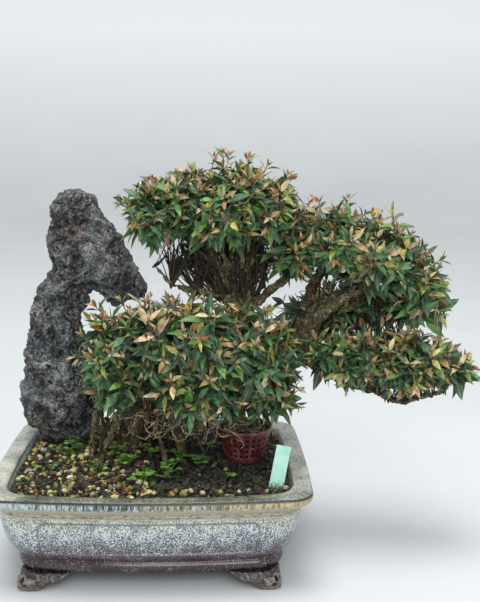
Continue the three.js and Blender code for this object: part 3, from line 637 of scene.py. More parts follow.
def stone_height(p):
    """How far the stone's skin stands out, in millimetres."""
    porous = min(max(0.3 + 2.2 * noise.noise(p / 34 + Vector((4, 9, 2))), 0), 1)
    broad = 4.8 * noise.noise(p / 25 + Vector((3, 7, 1))) + 3.4 * noise.noise(p / 11)
    ridges = 2.0 * crest(p + Vector((40, 0, 0)), 15) + 0.7 * crest(p, 5.5)
    rough = 0.4 * noise.noise(p / 2.6)
    pits = 3.4 * porous * bubble(p, 6.2) + 1.2 * bubble(p + Vector((3, 1, 7)), 4.2)
    crack = 3.4 * max(0.0, 1 - abs(noise.noise(p / 21 + Vector((11, 3, 5)))) * 13)
    return broad + ridges + rough - pits - crack - 1.2


def lava_material():
    """Lava: matt crumbly grey, with painted shade in its hollows and open pores, painted highlights on its
    crests, and brown and bluish stains.
    """
    material, tree, where = start_material("porous lava", 0.8)
    height = node(tree, "Attribute", "Fac", attribute_name="height")
    crumbs = node(tree, "TexNoise", "Fac", {"Vector": where, "Scale": 1 / 2.1, "Detail": 3, "Roughness": 0.7})
    # Painted light: higher skin is painted paler as highlight, and lower skin darker as shade.
    lit = node(tree, "Math", 0, {0: height, 1: 0.026, 2: crumbs}, operation="MULTIPLY_ADD")
    colour = node(
        tree, "ValToRGB", "Color", {0: lit},
        stops=[(0.32, "#131314"), (0.43, "#373838"), (0.53, "#5b5c5c"), (0.63, "#7a7b79"), (0.78, "#a6a69f")],
    )
    stain = node(tree, "TexNoise", "Fac", {"Vector": where, "Scale": 1 / 26, "Detail": 3})
    for low, high, most, tone in ((0.52, 0.66, 0.5, "#7a6658"), (0.46, 0.34, 0.45, "#5c676c")):
        share = node(
            tree, "MapRange", "Result", {"Value": stain, "From Min": low, "From Max": high, "To Max": most},
            interpolation_type="SMOOTHSTEP",
        )
        colour = node(tree, "Mix", 2, {0: share, 6: colour, 7: tone}, data_type="RGBA", blend_type="COLOR")
    # Painted shade: open pores are painted near black, for the dark inside their holes.
    pores = node(tree, "TexVoronoi", "Distance", {"Vector": where, "Scale": 1 / 4.4})
    open_pore = node(tree, "MapRange", "Result", {"Value": pores, "From Min": 0.38, "From Max": 0.3})
    zone = node(tree, "TexNoise", "Fac", {"Vector": where, "Scale": 1 / 17, "Detail": 2})
    zone = node(tree, "MapRange", "Result", {"Value": zone, "From Min": 0.46, "From Max": 0.56})
    shaded_pores = node(tree, "Math", 0, {0: open_pore, 1: zone}, operation="MULTIPLY")
    colour = node(tree, "Mix", 2, {0: shaded_pores, 6: colour, 7: "#080808"}, data_type="RGBA")
    relief = node(tree, "Math", 0, {0: crumbs, 1: shaded_pores}, operation="SUBTRACT")
    return finish_material(material, colour, relief, 1.3)


stone_piece = refined(
    "stone", "lava_stone", stone_height, STONE_VOXEL, STONE_ROUGH_VOXEL, STONE_SMOOTHING, STONE_FACES_KEPT
)
settle(stone_piece, lava_material(), "lava", "stone")


# Tree: old mossy trunk and limbs, twin stems, and bared roots over the soil, all one growth.
# The solid is smoothed first, and then its skin is raised into flaking bark.
TREE_ROUGH_VOXEL = 1.9 * MM
TREE_SMOOTHING = 4
TREE_VOXEL = 1.25 * MM
TREE_FACES_KEPT = 0.5


def bark_height(p):
    """How far the bark stands out, in millimetres."""
    return (
        1.3 * noise.noise(p / 9) + 0.8 * crest(p, 4.5) + 0.7 * noise.noise(p / 2.2)
        + 3.2 * max(0.0, noise.noise(p / 6 + Vector((9, 2, 4))) - 0.22) - 0.4
    )


def bark_material(name, dark, wood, light, moss):
    """Bark or root skin: dull and flaking, with painted shade in its cracks and painted highlights on its
    ridges, and green moss where it faces up.
    """
    material, tree, where = start_material(name, 0.88)
    flakes = node(
        tree, "TexNoise", "Fac", {"Vector": where, "Scale": 1 / 2.6, "Detail": 5, "Roughness": 0.75}
    )
    height = node(tree, "Attribute", "Fac", attribute_name="height")
    # Painted light: higher bark is painted paler as highlight, and its cracks darker as shade.
    lit = node(tree, "Math", 0, {0: height, 1: 0.05, 2: flakes}, operation="MULTIPLY_ADD")
    colour = node(tree, "ValToRGB", "Color", {0: lit}, stops=[(0.38, dark), (0.52, wood), (0.7, light)])
    fuzz = node(tree, "TexNoise", "Fac", {"Vector": where, "Scale": 1 / 1.6, "Detail": 4, "Roughness": 0.7})
    green = node(
        tree, "ValToRGB", "Color", {0: fuzz}, stops=[(0.36, "#1c1c0e"), (0.52, "#434122"), (0.7, "#7d7840")]
    )
    facing = node(tree, "SeparateXYZ", "Z", {0: node(tree, "NewGeometry", "Normal")})
    damp = node(tree, "TexNoise", "Fac", {"Vector": where, "Scale": 1 / 12, "Detail": 4})
    damp = node(tree, "Math", 0, {0: facing, 1: 0.12, 2: damp}, operation="MULTIPLY_ADD")
    mossy = node(
        tree, "MapRange", "Result",
        {"Value": damp, "From Min": 0.45, "From Max": 0.62, "To Max": moss}, interpolation_type="SMOOTHSTEP",
    )
    colour = node(tree, "Mix", 2, {0: mossy, 6: colour, 7: green}, data_type="RGBA")
    relief = node(tree, "Math", 0, {0: flakes, 1: fuzz}, operation="ADD")
    return finish_material(material, colour, relief, 0.7)


old_bark = bark_material("mossy bark", "#1a150e", "#584c37", "#b0a27e", 0.75)
tree_piece = refined(
    "tree", "mossy_tree", bark_height, TREE_VOXEL, TREE_ROUGH_VOXEL, TREE_SMOOTHING, TREE_FACES_KEPT
)
settle(tree_piece, old_bark, "bark", "tree")


# Old roots: dozens that have thickened between the bared ones, from the trunk down into the soil.
# Finer pale ones hang in a web in front of them, under the front crown.
OLD_ROOT_COUNT = 40
FINE_ROOT_COUNT = 40
ROOT_TAPER = 0.6


def stray(chance, spread):
    """A random step in any direction."""
    return Vector([chance.gauss(0, spread) for _ in range(3)])


def wander_line(chance, place, heading, steps, stride, spread, pull, thick):
    """A rambling line of (place, radius): it starts one way, is pulled another, and thins as it goes."""
    line = []
    for k in range(steps):
        line.append((spot(*place), thick + (thick * ROOT_TAPER - thick) * k / (steps - 1)))
        heading = (heading + stray(chance, spread) + pull).normalized()
        place = place + heading * stride
    return line


def old_root_lines():
    """Thick roots that wander down from under the trunk."""
    chance = random.Random(5)
    lines = []
    for n in range(OLD_ROOT_COUNT):
        x = -60 + 118 * (n + chance.random()) / OLD_ROOT_COUNT
        start = Vector((x, chance.uniform(4, 40), 130 + 0.25 * max(x, -20) + chance.uniform(-6, 14)))
        heading = Vector((chance.gauss(-0.1, 0.5), chance.uniform(-0.9, 0.5), -0.6)).normalized()
        thick = chance.uniform(1.0, 3.2)
        lines.append(wander_line(chance, start, heading, 11, 5.4, 0.34, Vector((0, 0, -0.34)), thick))
    return lines


def root_web_lines():
    """Fine pale roots that hang under the front crown, beside the basket."""
    chance = random.Random(8)
    lines = []
    for n in range(FINE_ROOT_COUNT):
        share = (n + chance.random()) / FINE_ROOT_COUNT
        start = Vector((-12 + 84 * share, chance.uniform(-40, -14), 142 - 16 * share + chance.uniform(-7, 5)))
        heading = Vector((chance.choice((-1, 1)), chance.gauss(0, 0.4), chance.gauss(-0.2, 0.3))).normalized()
        thick = chance.uniform(0.35, 0.8)
        pull = Vector((0, 0, -0.04)) if start.z > 130 else Vector((0, 0, 0.08))
        lines.append(wander_line(chance, start, heading, 12, 3.4, 0.55, pull, thick))
    return lines


# The old roots take a darker copy of the bark, as painted shade, where they lie under the crowns.
shaded_root_bark = bark_material("old root skin in painted shade", "#0c0906", "#2b2318", "#665840", 0.5)
old_roots = rolled("old_roots", old_root_lines(), 1)
apply_modifier(old_roots, "SUBSURF", levels=1, render_levels=1)
raise_skin(old_roots, [0.7 * noise.noise(Vector(p) / 2.5) for p in places_of(old_roots)[0]], "height")
smooth(old_roots)
settle(old_roots, shaded_root_bark, "bark")

root_web = rolled("root_web", root_web_lines(), 1)
smooth(root_web)
pale_root = bark_material("pale root skin", "#32281b", "#8f8164", "#d2c6a4", 0.1)
settle(root_web, pale_root, "bark")


# Basket: a cup of maroon plastic, moulded in one shot as an open mesh with a rolled lip.
# It stands on the soil at the front right.
BASKET_HOLES = 24
BASKET_ROWS = [(5.2, 8.8), (10.7, 14.3), (16.2, 19.8), (21.7, 25.3)]
BASKET_BOTTOM_RADIUS = 17.5
BASKET_TOP_RADIUS = 25.5
BASKET_WALL = 1.3
BASKET_LIP = 1.8
basket_low, basket_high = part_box("basket")
basket_middle = (basket_low + basket_high) / 2


def basket_shell():
    """The cup: a cone cut at each row of holes, the holes opened, then the lip turned out."""
    clear_selection()
    bpy.ops.mesh.primitive_cone_add(
        vertices=BASKET_HOLES * 2, radius1=BASKET_BOTTOM_RADIUS * MM, radius2=BASKET_TOP_RADIUS * MM,
        depth=basket_high.z - basket_low.z, end_fill_type="NOTHING", location=basket_middle,
    )
    basket = bpy.context.object
    bpy.ops.object.transform_apply(location=True, rotation=True, scale=True)
    bpy.ops.object.mode_set(mode="EDIT")
    for level in [z for row in BASKET_ROWS for z in row]:
        bpy.ops.mesh.select_all(action="SELECT")
        cut = (basket_middle.x, basket_middle.y, basket_low.z + level * MM)
        bpy.ops.mesh.bisect(plane_co=cut, plane_no=(0, 0, 1))
    bpy.ops.mesh.select_mode(type="FACE")
    bpy.ops.mesh.select_all(action="DESELECT")
    bpy.ops.object.mode_set(mode="OBJECT")
    for face in basket.data.polygons:
        height = (face.center.z - basket_low.z) / MM
        out = face.center - basket_middle
        column = int((math.atan2(out.y, out.x) / (2 * math.pi)) % 1 * BASKET_HOLES * 2)
        face.select = column % 2 == 0 and any(low < height < high for low, high in BASKET_ROWS)
    bpy.ops.object.mode_set(mode="EDIT")
    bpy.ops.mesh.delete(type="FACE")
    bpy.ops.mesh.select_mode(type="VERT")
    for level, grow in ((basket_low.z, False), (basket_high.z, True)):
        bpy.ops.mesh.select_all(action="DESELECT")
        bpy.ops.object.mode_set(mode="OBJECT")
        for vertex in basket.data.vertices:
            vertex.select = abs(vertex.co.z - level) < 0.1 * MM
        bpy.ops.object.mode_set(mode="EDIT")
        if grow:
            wider = (BASKET_TOP_RADIUS + BASKET_LIP) / BASKET_TOP_RADIUS
            bpy.ops.mesh.extrude_region_move(TRANSFORM_OT_translate={"value": (0, 0, 0)})
            bpy.ops.transform.resize(value=(wider, wider, 1), center_override=basket_middle)
            bpy.ops.mesh.extrude_region_move(TRANSFORM_OT_translate={"value": (0, 0, -2.4 * MM)})
        else:
            bpy.ops.mesh.edge_face_add()
    bpy.ops.mesh.select_all(action="SELECT")
    bpy.ops.mesh.normals_make_consistent(inside=False)
    bpy.ops.object.mode_set(mode="OBJECT")
    apply_modifier(basket, "SOLIDIFY", thickness=BASKET_WALL * MM, offset=-1)
    apply_modifier(basket, "BEVEL", width=0.25 * MM, segments=2, limit_method="ANGLE", angle_limit=0.7)
    return basket


basket_piece = join([basket_shell()], "mesh_basket")
bpy.ops.object.shade_smooth_by_angle(angle=math.radians(35))
# Moulded plastic: satin, with a faint grain, and faded paler in patches.
basket_plastic = mottled_material(
    "moulded maroon plastic", 0.4, 8, [(0.34, "#3a1c1a"), (0.5, "#592c29"), (0.66, "#7c4a48")], 0.08,
    harshness=0.5, grain=1.5, ior=1.49,
)
settle(basket_piece, basket_plastic, "basket_plastic", "basket")


# Basket filling: crumbled feed with a tangle of fine roots that grew into it.
# The feed lies loose in the cup, a little below its lip.
BASKET_ROOTS = 18
FEED_VOXEL = 1.3 * MM


def feed_height(p):
    """How far the feed stands out, in millimetres."""
    return 1.2 * noise.noise(p / 3) - 0.6


def basket_root_lines():
    """Fine roots that wind about on the feed."""
    chance = random.Random(14)
    middle = (basket_middle - spot(0, 0, 0)) / MM
    lines = []
    for n in range(BASKET_ROOTS):
        angle = chance.uniform(0, 2 * math.pi)
        reach = chance.uniform(4, 18)
        line = []
        for k in range(12):
            swing = 2.6 * math.sin(k * 1.3 + n)
            place = middle + Vector((reach * math.cos(angle), reach * math.sin(angle), 0))
            place.z = (basket_high.z - pot_low.z) / MM - 2 + chance.uniform(-1, 1.5) + 0.5 * swing
            line.append((spot(*place), 0.55))
            angle += chance.uniform(0.15, 0.42)
            reach = min(max(reach + chance.gauss(0, 2.4), 3), 21)
        lines.append(line)
    return lines


# Crumbled feed: dull dark brown, with dry paler crumbs.
feed = mottled_material(
    "crumbled feed", 0.9, 2, [(0.36, "#0b0705"), (0.5, "#26170d"), (0.62, "#4d321c"), (0.76, "#8a6a44")], 0.8
)
settle(refined("basket_fill", "basket_feed", feed_height, FEED_VOXEL), feed, "feed", "basket_fill")
basket_roots = rolled("basket_roots", basket_root_lines(), 0)
smooth(basket_roots)
settle(basket_roots, pale_root, "bark")


# Label: a strip punched from pale green plastic sheet, left bare, with soil splashed on its foot.
# Splashes thin out between two heights above the ground, in millimetres.
SPLASHED_UP_TO = 104
SOILED_UP_TO = 97


def label_material():
    """Plastic sheet: satin and even, a little faded in patches, with dried soil on its foot."""
    material, tree, where = start_material("pale green plastic sheet", 0.42, 1.49)
    height = node(tree, "SeparateXYZ", "Z", {0: where})
    fade = node(tree, "TexNoise", "Fac", {"Vector": where, "Scale": 1 / 14, "Detail": 3})
    sheet = node(tree, "ValToRGB", "Color", {0: fade}, stops=[(0.35, "#8dbfae"), (0.65, "#a6d2c4")])
    spatter = node(
        tree, "TexNoise", "Fac", {"Vector": where, "Scale": 1 / 2.5, "Detail": 4, "Roughness": 0.7}
    )
    splash = node(tree, "Math", 0, {0: spatter, 1: 16.0, 2: height}, operation="MULTIPLY_ADD")
    soiled = node(
        tree, "MapRange", "Result",
        {"Value": splash, "From Min": SPLASHED_UP_TO, "From Max": SOILED_UP_TO},
        interpolation_type="SMOOTHSTEP",
    )
    colour = node(tree, "Mix", 2, {0: soiled, 6: sheet, 7: "#3c3020"}, data_type="RGBA")
    grain = node(tree, "TexNoise", "Fac", {"Vector": where, "Scale": 1 / 0.9})
    return finish_material(material, colour, grain, 0.03)


dress(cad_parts["label"], label_material())


# Grit: loose grains of pumice, fired clay and lava, 2 to 6 mm across, one deep on the soil.
# Each is a rough pebble, pressed a little into the bed. It is pale at the left and front, and at the right
# the grains are picked darker and darkened further, as painted shade.
GRAIN_COLOURS = [
    ("#0b0a08", 24), ("#1f1610", 20), ("#3b2717", 12), ("#643f20", 8), ("#8a5a2c", 7), ("#b09a4c", 7),
    ("#cfca74", 11), ("#9c9c3e", 10), ("#e4dba0", 7), ("#eae4d2", 3),
]
GRAIN_SIZES = (2.0, 2.6, 3.2, 3.8, 4.4, 5.2, 6.2)
GRAIN_COUNT = 4700
ABOVE_SOIL = 130
LOWEST_SOIL = 78


def tint_points(mesh, tints):
    """Give each point of a mesh its own tint, for its material to read."""
    layer = mesh.color_attributes.new("tint", "FLOAT_COLOR", "POINT")
    layer.data.foreach_set("color", np.asarray(tints, np.float32).ravel())


def mesh_piece(name, points, faces, tints, uv=None):
    """A piece from arrays of points and faces, with a tint for each point."""
    mesh = bpy.data.meshes.new(name)
    mesh.from_pydata(points.tolist(), [], faces)
    tint_points(mesh, tints)
    if uv is not None:
        layer = mesh.uv_layers.new(name="blade")
        corner = np.empty(len(mesh.loops), dtype=np.int64)
        mesh.loops.foreach_get("vertex_index", corner)
        layer.data.foreach_set("uv", uv[corner].astype(np.float32).ravel())
    piece = bpy.data.objects.new(name, mesh)
    bpy.context.collection.objects.link(piece)
    return piece


soil_faces = faces_of(soil_piece)
standing_faces = [faces_of(piece) for piece in (stone_piece, tree_piece, basket_piece)]
DOWN = Vector((0, 0, -1))


def ground(x, y):
    """The soil's surface at a place in millimetres, or None off the soil or under something standing."""
    hit = soil_faces.ray_cast(spot(x, y, ABOVE_SOIL), DOWN)[0]
    if hit is None or hit.z < spot(0, 0, LOWEST_SOIL).z:
        return None
    for faces in standing_faces:
        if faces.ray_cast(hit + Vector((0, 0, 9 * MM)), DOWN, 10 * MM)[0] is not None:
            return None
    return hit


def pebble():
    """Points and faces of one pebble, a unit across."""
    clear_selection()
    bpy.ops.mesh.primitive_ico_sphere_add(subdivisions=1, radius=0.5)
    ball = bpy.context.object
    points = np.array([v.co[:] for v in ball.data.vertices])
    faces = np.array([f.vertices[:] for f in ball.data.polygons])
    bpy.data.objects.remove(ball)
    return points, faces


def grit_layer():
    """All the grains, dropped at random on the bare soil."""
    chance = random.Random(21)
    unit, faces = pebble()
    codes, weights = zip(*GRAIN_COLOURS)
    tones = [linear(code)[:3] for code in codes]
    shaded_weights = [w * (4.0 if n < 3 else 0.2) for n, w in enumerate(weights)]
    grains, tints = [], []
    while len(grains) < GRAIN_COUNT:
        x, y = chance.uniform(-128, 128), chance.uniform(-99, 99)
        hit = ground(x, y)
        if hit is None:
            continue
        size = chance.choice(GRAIN_SIZES) * chance.uniform(0.85, 1.15)
        jag = np.array([1 + 0.4 * (chance.random() - 0.5) for _ in unit])[:, None]
        squash = np.array([chance.uniform(0.8, 1.25), chance.uniform(0.75, 1.1), chance.uniform(0.6, 0.9)])
        turn = Matrix.Rotation(chance.uniform(0, math.pi), 3, "Z")
        turn = turn @ Matrix.Rotation(chance.gauss(0, 0.5), 3, "X")
        lift = np.array(hit) + np.array([0, 0, size * chance.uniform(0.05, 0.4) * MM])
        grains.append((unit * jag * squash * size * MM) @ np.array(turn).T + lift)
        # Painted shade: away from the pale side, grains are picked mostly from the dark tones and darkened
        # more.
        unshaded_side = x < 24 * noise.noise(Vector((x, y, 0)) / 30) or (y < -78 and chance.random() < 0.6)
        tone = chance.choices(tones, weights if unshaded_side else shaded_weights)[0]
        shade = chance.uniform(0.42, 1.12) if unshaded_side else chance.uniform(0.22, 0.75)
        tints += [[c * shade for c in tone] + [1.0]] * len(unit)
    offsets = np.arange(len(grains))[:, None, None] * len(unit)
    all_faces = (faces[None] + offsets).reshape(-1, 3).tolist()
    return mesh_piece("soil_grit", np.concatenate(grains), all_faces, tints)


def grit_material():
    """Grit: dull grains in their own tints, with dirt in their pores and a green bloom of algae."""
    material, tree, where = start_material("mixed grit", 0.62)
    colour = node(tree, "Attribute", "Color", attribute_name="tint")
    pores = node(tree, "TexNoise", "Fac", {"Vector": where, "Scale": 1 / 0.9, "Detail": 3, "Roughness": 0.7})
    damp = node(tree, "TexNoise", "Fac", {"Vector": where, "Scale": 1 / 15, "Detail": 3})
    for spread, low, most, tone in ((pores, 0.38, 0.6, "#120d08"), (damp, 0.5, 0.55, "#38441a")):
        share = node(
            tree, "MapRange", "Result", {"Value": spread, "From Min": low, "From Max": 0.66, "To Max": most}
        )
        colour = node(tree, "Mix", 2, {0: share, 6: colour, 7: tone}, data_type="RGBA")
    return finish_material(material, colour, pores, 0.3)


settle(grit_layer(), grit_material(), "soil")


# Leaves: one thin lens-shaped blade is modelled, then laid out thousands of times.
# Each leaf is folded a little along its rib, twisted, and arched towards its tip.
BLADE_OUTLINE = [(0, 0), (0.13, 0.4), (0.38, 1.0), (0.64, 0.84), (0.86, 0.38), (1, 0)]
BLADE_THICKNESS = 0.45


def blade_shape():
    """One blade: shares of length, half width and thickness of its points, and its faces."""
    clear_selection()
    bpy.ops.mesh.primitive_grid_add(x_subdivisions=len(BLADE_OUTLINE) - 1, y_subdivisions=2, size=2)
    blade = bpy.context.object
    columns = sorted({round(v.co.x, 4) for v in blade.data.vertices})
    for vertex in blade.data.vertices:
        share, half = BLADE_OUTLINE[columns.index(round(vertex.co.x, 4))]
        vertex.co = (share, vertex.co.y * half, 0)
    open_mesh()
    bpy.ops.mesh.duplicate()
    bpy.ops.mesh.flip_normals()
    bpy.ops.object.mode_set(mode="OBJECT")
    for vertex in blade.data.vertices:
        if abs(vertex.co.y) < 1e-4 and 0 < vertex.co.x < 1:
            vertex.co.z = -0.5 if vertex.select else 0.5
    open_mesh()
    bpy.ops.mesh.remove_doubles(threshold=1e-4)
    bpy.ops.mesh.normals_make_consistent(inside=False)
    bpy.ops.object.mode_set(mode="OBJECT")
    points = np.array([v.co[:] for v in blade.data.vertices])
    faces = [list(f.vertices) for f in blade.data.polygons]
    bpy.data.objects.remove(blade)
    return points, faces


BLADE = blade_shape()


def leaf_row(root, run, up, length, width, arch, fold, twist, tint):
    """The numbers of one leaf: its root, its own axes, its sizes, its bends and its tint."""
    x = run.normalized()
    y = up.cross(x)
    if y.length < 1e-3:
        y = Vector((1, 0, 0)).cross(x)
    y.normalize()
    return [*root, *x, *y, *x.cross(y), length, width, arch, fold, twist, *tint[:3]]


def leaf_layer(name, rows):
    """One piece of all the leaves in a list of their numbers."""
    blade, faces = BLADE
    along, across, up = blade.T
    data = np.array(rows)
    root, x, y, z = (data[:, None, 3 * n : 3 * n + 3] for n in range(4))
    length, width, arch, fold, twist = (data[:, 12 + n, None] for n in range(5))
    half = across * width / 2
    rise = fold * np.abs(half) - arch * along**2 * length + up * BLADE_THICKNESS
    reach = along * length * (1 - 0.35 * arch * along)
    side = half * np.cos(twist * along)
    lift = rise + half * np.sin(twist * along)
    places = root + x * reach[..., None] + y * side[..., None] + z * lift[..., None]
    places = places.reshape(-1, 3) * MM + ORIGIN
    size = len(blade)
    all_faces = [[i + n * size for i in face] for n in range(len(data)) for face in faces]
    tints = np.repeat(np.c_[data[:, 17:20], np.ones(len(data))], size, axis=0)
    uv = np.tile(np.c_[0.5 + across / 2, along], (len(data), 1))
    piece = mesh_piece(name, places, all_faces, tints, uv)
    take(piece)
    bpy.ops.object.shade_smooth_by_angle(angle=math.radians(55))
    return piece


def leaf_material(name, rib, roughness):
    """Leaf skin: waxy, in each leaf's own tint, with a pale rib and side veins about 2 mm apart."""
    material, tree, where = start_material(name, roughness, 1.45)
    tint = node(tree, "Attribute", "Color", attribute_name="tint")
    blade = node(tree, "UVMap", "UV", uv_map="blade")
    across = node(tree, "SeparateXYZ", "X", {0: blade})
    along = node(tree, "SeparateXYZ", "Y", {0: blade})
    off_rib = node(tree, "Math", 0, {0: across, 1: 0.5}, operation="SUBTRACT")
    off_rib = node(tree, "Math", 0, {0: off_rib}, operation="ABSOLUTE")
    slant = node(tree, "Math", 0, {0: off_rib, 1: -0.6, 2: along}, operation="MULTIPLY_ADD")
    veins = node(tree, "Math", 0, {0: slant, 1: 60.0}, operation="MULTIPLY")
    veins = node(tree, "Math", 0, {0: veins}, operation="SINE")
    blotch = node(tree, "TexNoise", "Fac", {"Vector": where, "Scale": 1 / 5, "Detail": 3})
    shade = node(
        tree, "ValToRGB", "Color", {0: blotch}, stops=[(0.34, "#ffffff"), (0.66, "#a8ab9a")]
    )
    colour = node(tree, "Mix", 2, {0: 1.0, 6: tint, 7: shade}, data_type="RGBA", blend_type="MULTIPLY")
    for lines, low, high, most in ((veins, 0.6, 1.0, 0.2), (off_rib, 0.06, 0.0, 0.42)):
        share = node(
            tree, "MapRange", "Result", {"Value": lines, "From Min": low, "From Max": high, "To Max": most}
        )
        colour = node(tree, "Mix", 2, {0: share, 6: colour, 7: rib}, data_type="RGBA")
    return finish_material(material, colour, veins, 0.12)


# Weeds: clover that seeded itself in the grit, with three round leaves on each thin stalk.
# Five clumps stand where the frame has them, and smaller ones are scattered between.
CLUMPS = {
    "seedling_by_stone": (-78, 20, 7),
    "seedling_left": (-26, -24, 8),
    "seedling_front": (-8, -62, 6),
    "seedling_middle": (14, -38, 9),
    "seedling_by_basket": (42, -20, 8),
}
STRAYS = [(-88, 8, 3), (-62, 34, 3), (-40, -4, 4), (-21, 10, 4), (26, -16, 4), (-9, -47, 3), (49, 10, 3),
          (9, -50, 3), (-52, -36, 3), (-4, -8, 4), (66, -52, 2), (-96, -40, 2)]
CLOVER_TINTS = [linear(code) for code in ("#3c6e1e", "#5c9630", "#84b64c", "#33551b")]


def clover(seed, x, y, stalks):
    """Leaf numbers and stalk lines of one clump, drawn from a seed of its own."""
    chance = random.Random(seed)
    foot = ground(x, y) or spot(x, y, 91)
    foot = (foot - spot(0, 0, 0)) / MM
    rows, lines = [], []
    for n in range(stalks):
        angle = 2 * math.pi * (n + chance.random()) / stalks
        reach, rise = chance.uniform(2, 11), chance.uniform(5, 13)
        top = foot + Vector((reach * math.cos(angle), reach * math.sin(angle), rise))
        bend = foot.lerp(top, 0.5) + Vector((0, 0, 1.2))
        lines.append([(spot(*p), 0.35) for p in (foot - Vector((0, 0, 3)), bend, top)])
        spin = chance.uniform(0, 6)
        for k in range(3):
            turn = spin + k * 2 * math.pi / 3
            run = Vector((math.cos(turn), math.sin(turn), chance.uniform(-0.1, 0.35)))
            size = chance.uniform(4.2, 6.2)
            tint = chance.choice(CLOVER_TINTS)
            rows.append(leaf_row(top, run, Vector((0, 0, 1)), size, size * 1.05, 0.12, -0.2, 0, tint))
    return rows, lines


def clover_piece(name, rows, lines):
    """A clump as one piece, its stalks tinted like its leaves."""
    stalks = rolled(name + "_stalks", lines, 0)
    tint_points(stalks.data, CLOVER_TINTS[1] * len(stalks.data.vertices))
    return join([leaf_layer(name + "_leaves", rows), stalks], name)


clover_leaf = leaf_material("clover leaf", "#8fae5e", 0.45)
for name, (x, y, stalks) in CLUMPS.items():
    settle(clover_piece(name + "_clover", *clover(name, x, y, stalks)), clover_leaf, "seedling", name)
stray_rows, stray_lines = [], []
for x, y, stalks in STRAYS:
    rows, lines = clover(x, x, y, stalks)
    stray_rows += rows
    stray_lines += lines
settle(clover_piece("stray_clover", stray_rows, stray_lines), clover_leaf, "seedling")


# Crowns: clouds of short shoots with leaves in crossed pairs and a star of small ones at each tip.
# Old leaves are deep green and hang, and young ones at the tips and on top are bronze and tan.
# Under them a thicket of bare twigs fans out from the limbs.
# A lobe is a centre and radii, in millimetres, and "low" says how far round under it shoots grow. A
# broom is the centre and radii of the twigs' tips, their number, and their least and greatest rise.
CROWNS = {
    "foliage_top": {
        "lobes": [
            ((60, 8, 320), (58, 44, 50)), ((2, 4, 322), (26, 32, 36)), ((112, 14, 322), (22, 34, 34)),
            ((84, 10, 342), (32, 34, 26)), ((26, 6, 336), (30, 34, 33)), ((70, 36, 284), (48, 12, 24)),
        ],
        "shoots": 300, "low": -0.3, "seed": 11,
        "broom": ((58, 26, 292), (62, 24, 22), 330, 26, 62),
    },
    "foliage_right_upper": {
        "lobes": [
            ((170, 8, 295), (34, 40, 37)), ((216, 6, 280), (44, 42, 42)), ((252, 4, 250), (26, 34, 34)),
            ((136, 14, 290), (22, 28, 36)), ((205, 22, 234), (56, 24, 18)), ((166, 32, 228), (44, 14, 26)),
        ],
        "shoots": 370, "low": -0.5, "seed": 23,
        "broom": ((196, 18, 244), (66, 26, 22), 300, 10, 42),
    },
    "foliage_right_lower": {
        "lobes": [
            ((190, -8, 191), (32, 32, 24)), ((240, -12, 189), (40, 36, 28)), ((278, -8, 184), (22, 26, 20)),
            ((164, -20, 202), (22, 14, 16)),
        ],
        "shoots": 195, "low": -0.7, "seed": 37,
        "broom": ((228, -6, 176), (52, 22, 14), 90, 6, 24),
    },
    "foliage_front": {
        "lobes": [
            ((-43, -8, 195), (25, 30, 36)), ((0, -12, 206), (40, 40, 40)), ((46, -16, 207), (42, 42, 44)),
            ((88, -16, 193), (46, 42, 48)), ((44, -26, 166), (46, 30, 32)), ((100, -18, 166), (32, 30, 32)),
            ((-34, -12, 166), (26, 26, 22)),
        ],
        "shoots": 425, "low": -0.8, "seed": 51,
        "broom": ((36, -8, 176), (70, 30, 24), 150, 8, 40),
    },
}
YOUNG = [("#dcc298", 30), ("#e2cda0", 16), ("#c49a6c", 18), ("#d6a68a", 14), ("#c9783a", 8), ("#bdb35a", 14)]
GROWN = [("#9ab052", 26), ("#76a04c", 30), ("#b0ad5a", 12), ("#5a8a5a", 24), ("#c2ab7c", 8)]
OLD = [("#31523e", 30), ("#3e6a49", 30), ("#528556", 24), ("#6d9b55", 12), ("#22332a", 4)]
STEM_TINTS = [("#7b6a2f", 30), ("#6a4a2c", 30), ("#8c7d3a", 20), ("#7d4428", 20)]
# Leaf pairs of a short shoot and of a long one: share up the stem, leaf length, lean from the stem.
SHOOT_PAIRS = [(0.24, 25, 1.35), (0.5, 23, 1.2), (0.76, 19, 1.0), (0.93, 14, 0.75), (1.0, 9, 0.4)]
LONG_SHOOT_PAIRS = [(0.2, 20, 1.3), (0.5, 17, 1.2), (0.84, 14, 0.9), (0.95, 12, 0.6), (1.0, 8, 0.3)]
LONG_SHARE = 0.32  # of the outermost shoots


def pick(chance, palette):
    """A tint of a palette, a little lighter or darker."""
    codes, weights = zip(*palette)
    tone = linear(chance.choices(codes, weights)[0])
    light = chance.uniform(0.68, 1.3)
    return [c * light for c in tone[:3]]


def shoot_tips(crown, chance):
    """Places, outward directions and depths of the shoot tips of a crown, in millimetres."""
    lobes = [(Vector(c), Vector(r)) for c, r in crown["lobes"]]
    sizes = [r.x * r.y + r.y * r.z + r.x * r.z for _, r in lobes]
    tips = []
    while len(tips) < crown["shoots"]:
        centre, radii = chance.choices(lobes, sizes)[0]
        up = chance.uniform(crown["low"], 1)
        angle = chance.uniform(0, 2 * math.pi)
        level = math.sqrt(1 - up * up)
        out = Vector((level * math.cos(angle), level * math.sin(angle), up))
        depth = 1 - 0.4 * chance.random() ** 1.5
        tip = centre + out * radii * depth
        buried = False
        for other, size in lobes:
            away = tip - other
            inside = Vector((away.x / size.x, away.y / size.y, away.z / size.z)).length
            buried = buried or (other != centre and inside < 0.7)
        if buried or any((tip - known).length < 5 for known, _, _ in tips):
            continue
        away = Vector((out.x / radii.x, out.y / radii.y, out.z / radii.z)).normalized()
        if depth > 0.9 and chance.random() < LONG_SHARE:
            tip = tip + (away + Vector((0, 0, 0.35))) * chance.uniform(5, 11)
            depth = 1.2
        tips.append((tip, away, depth))
    return tips


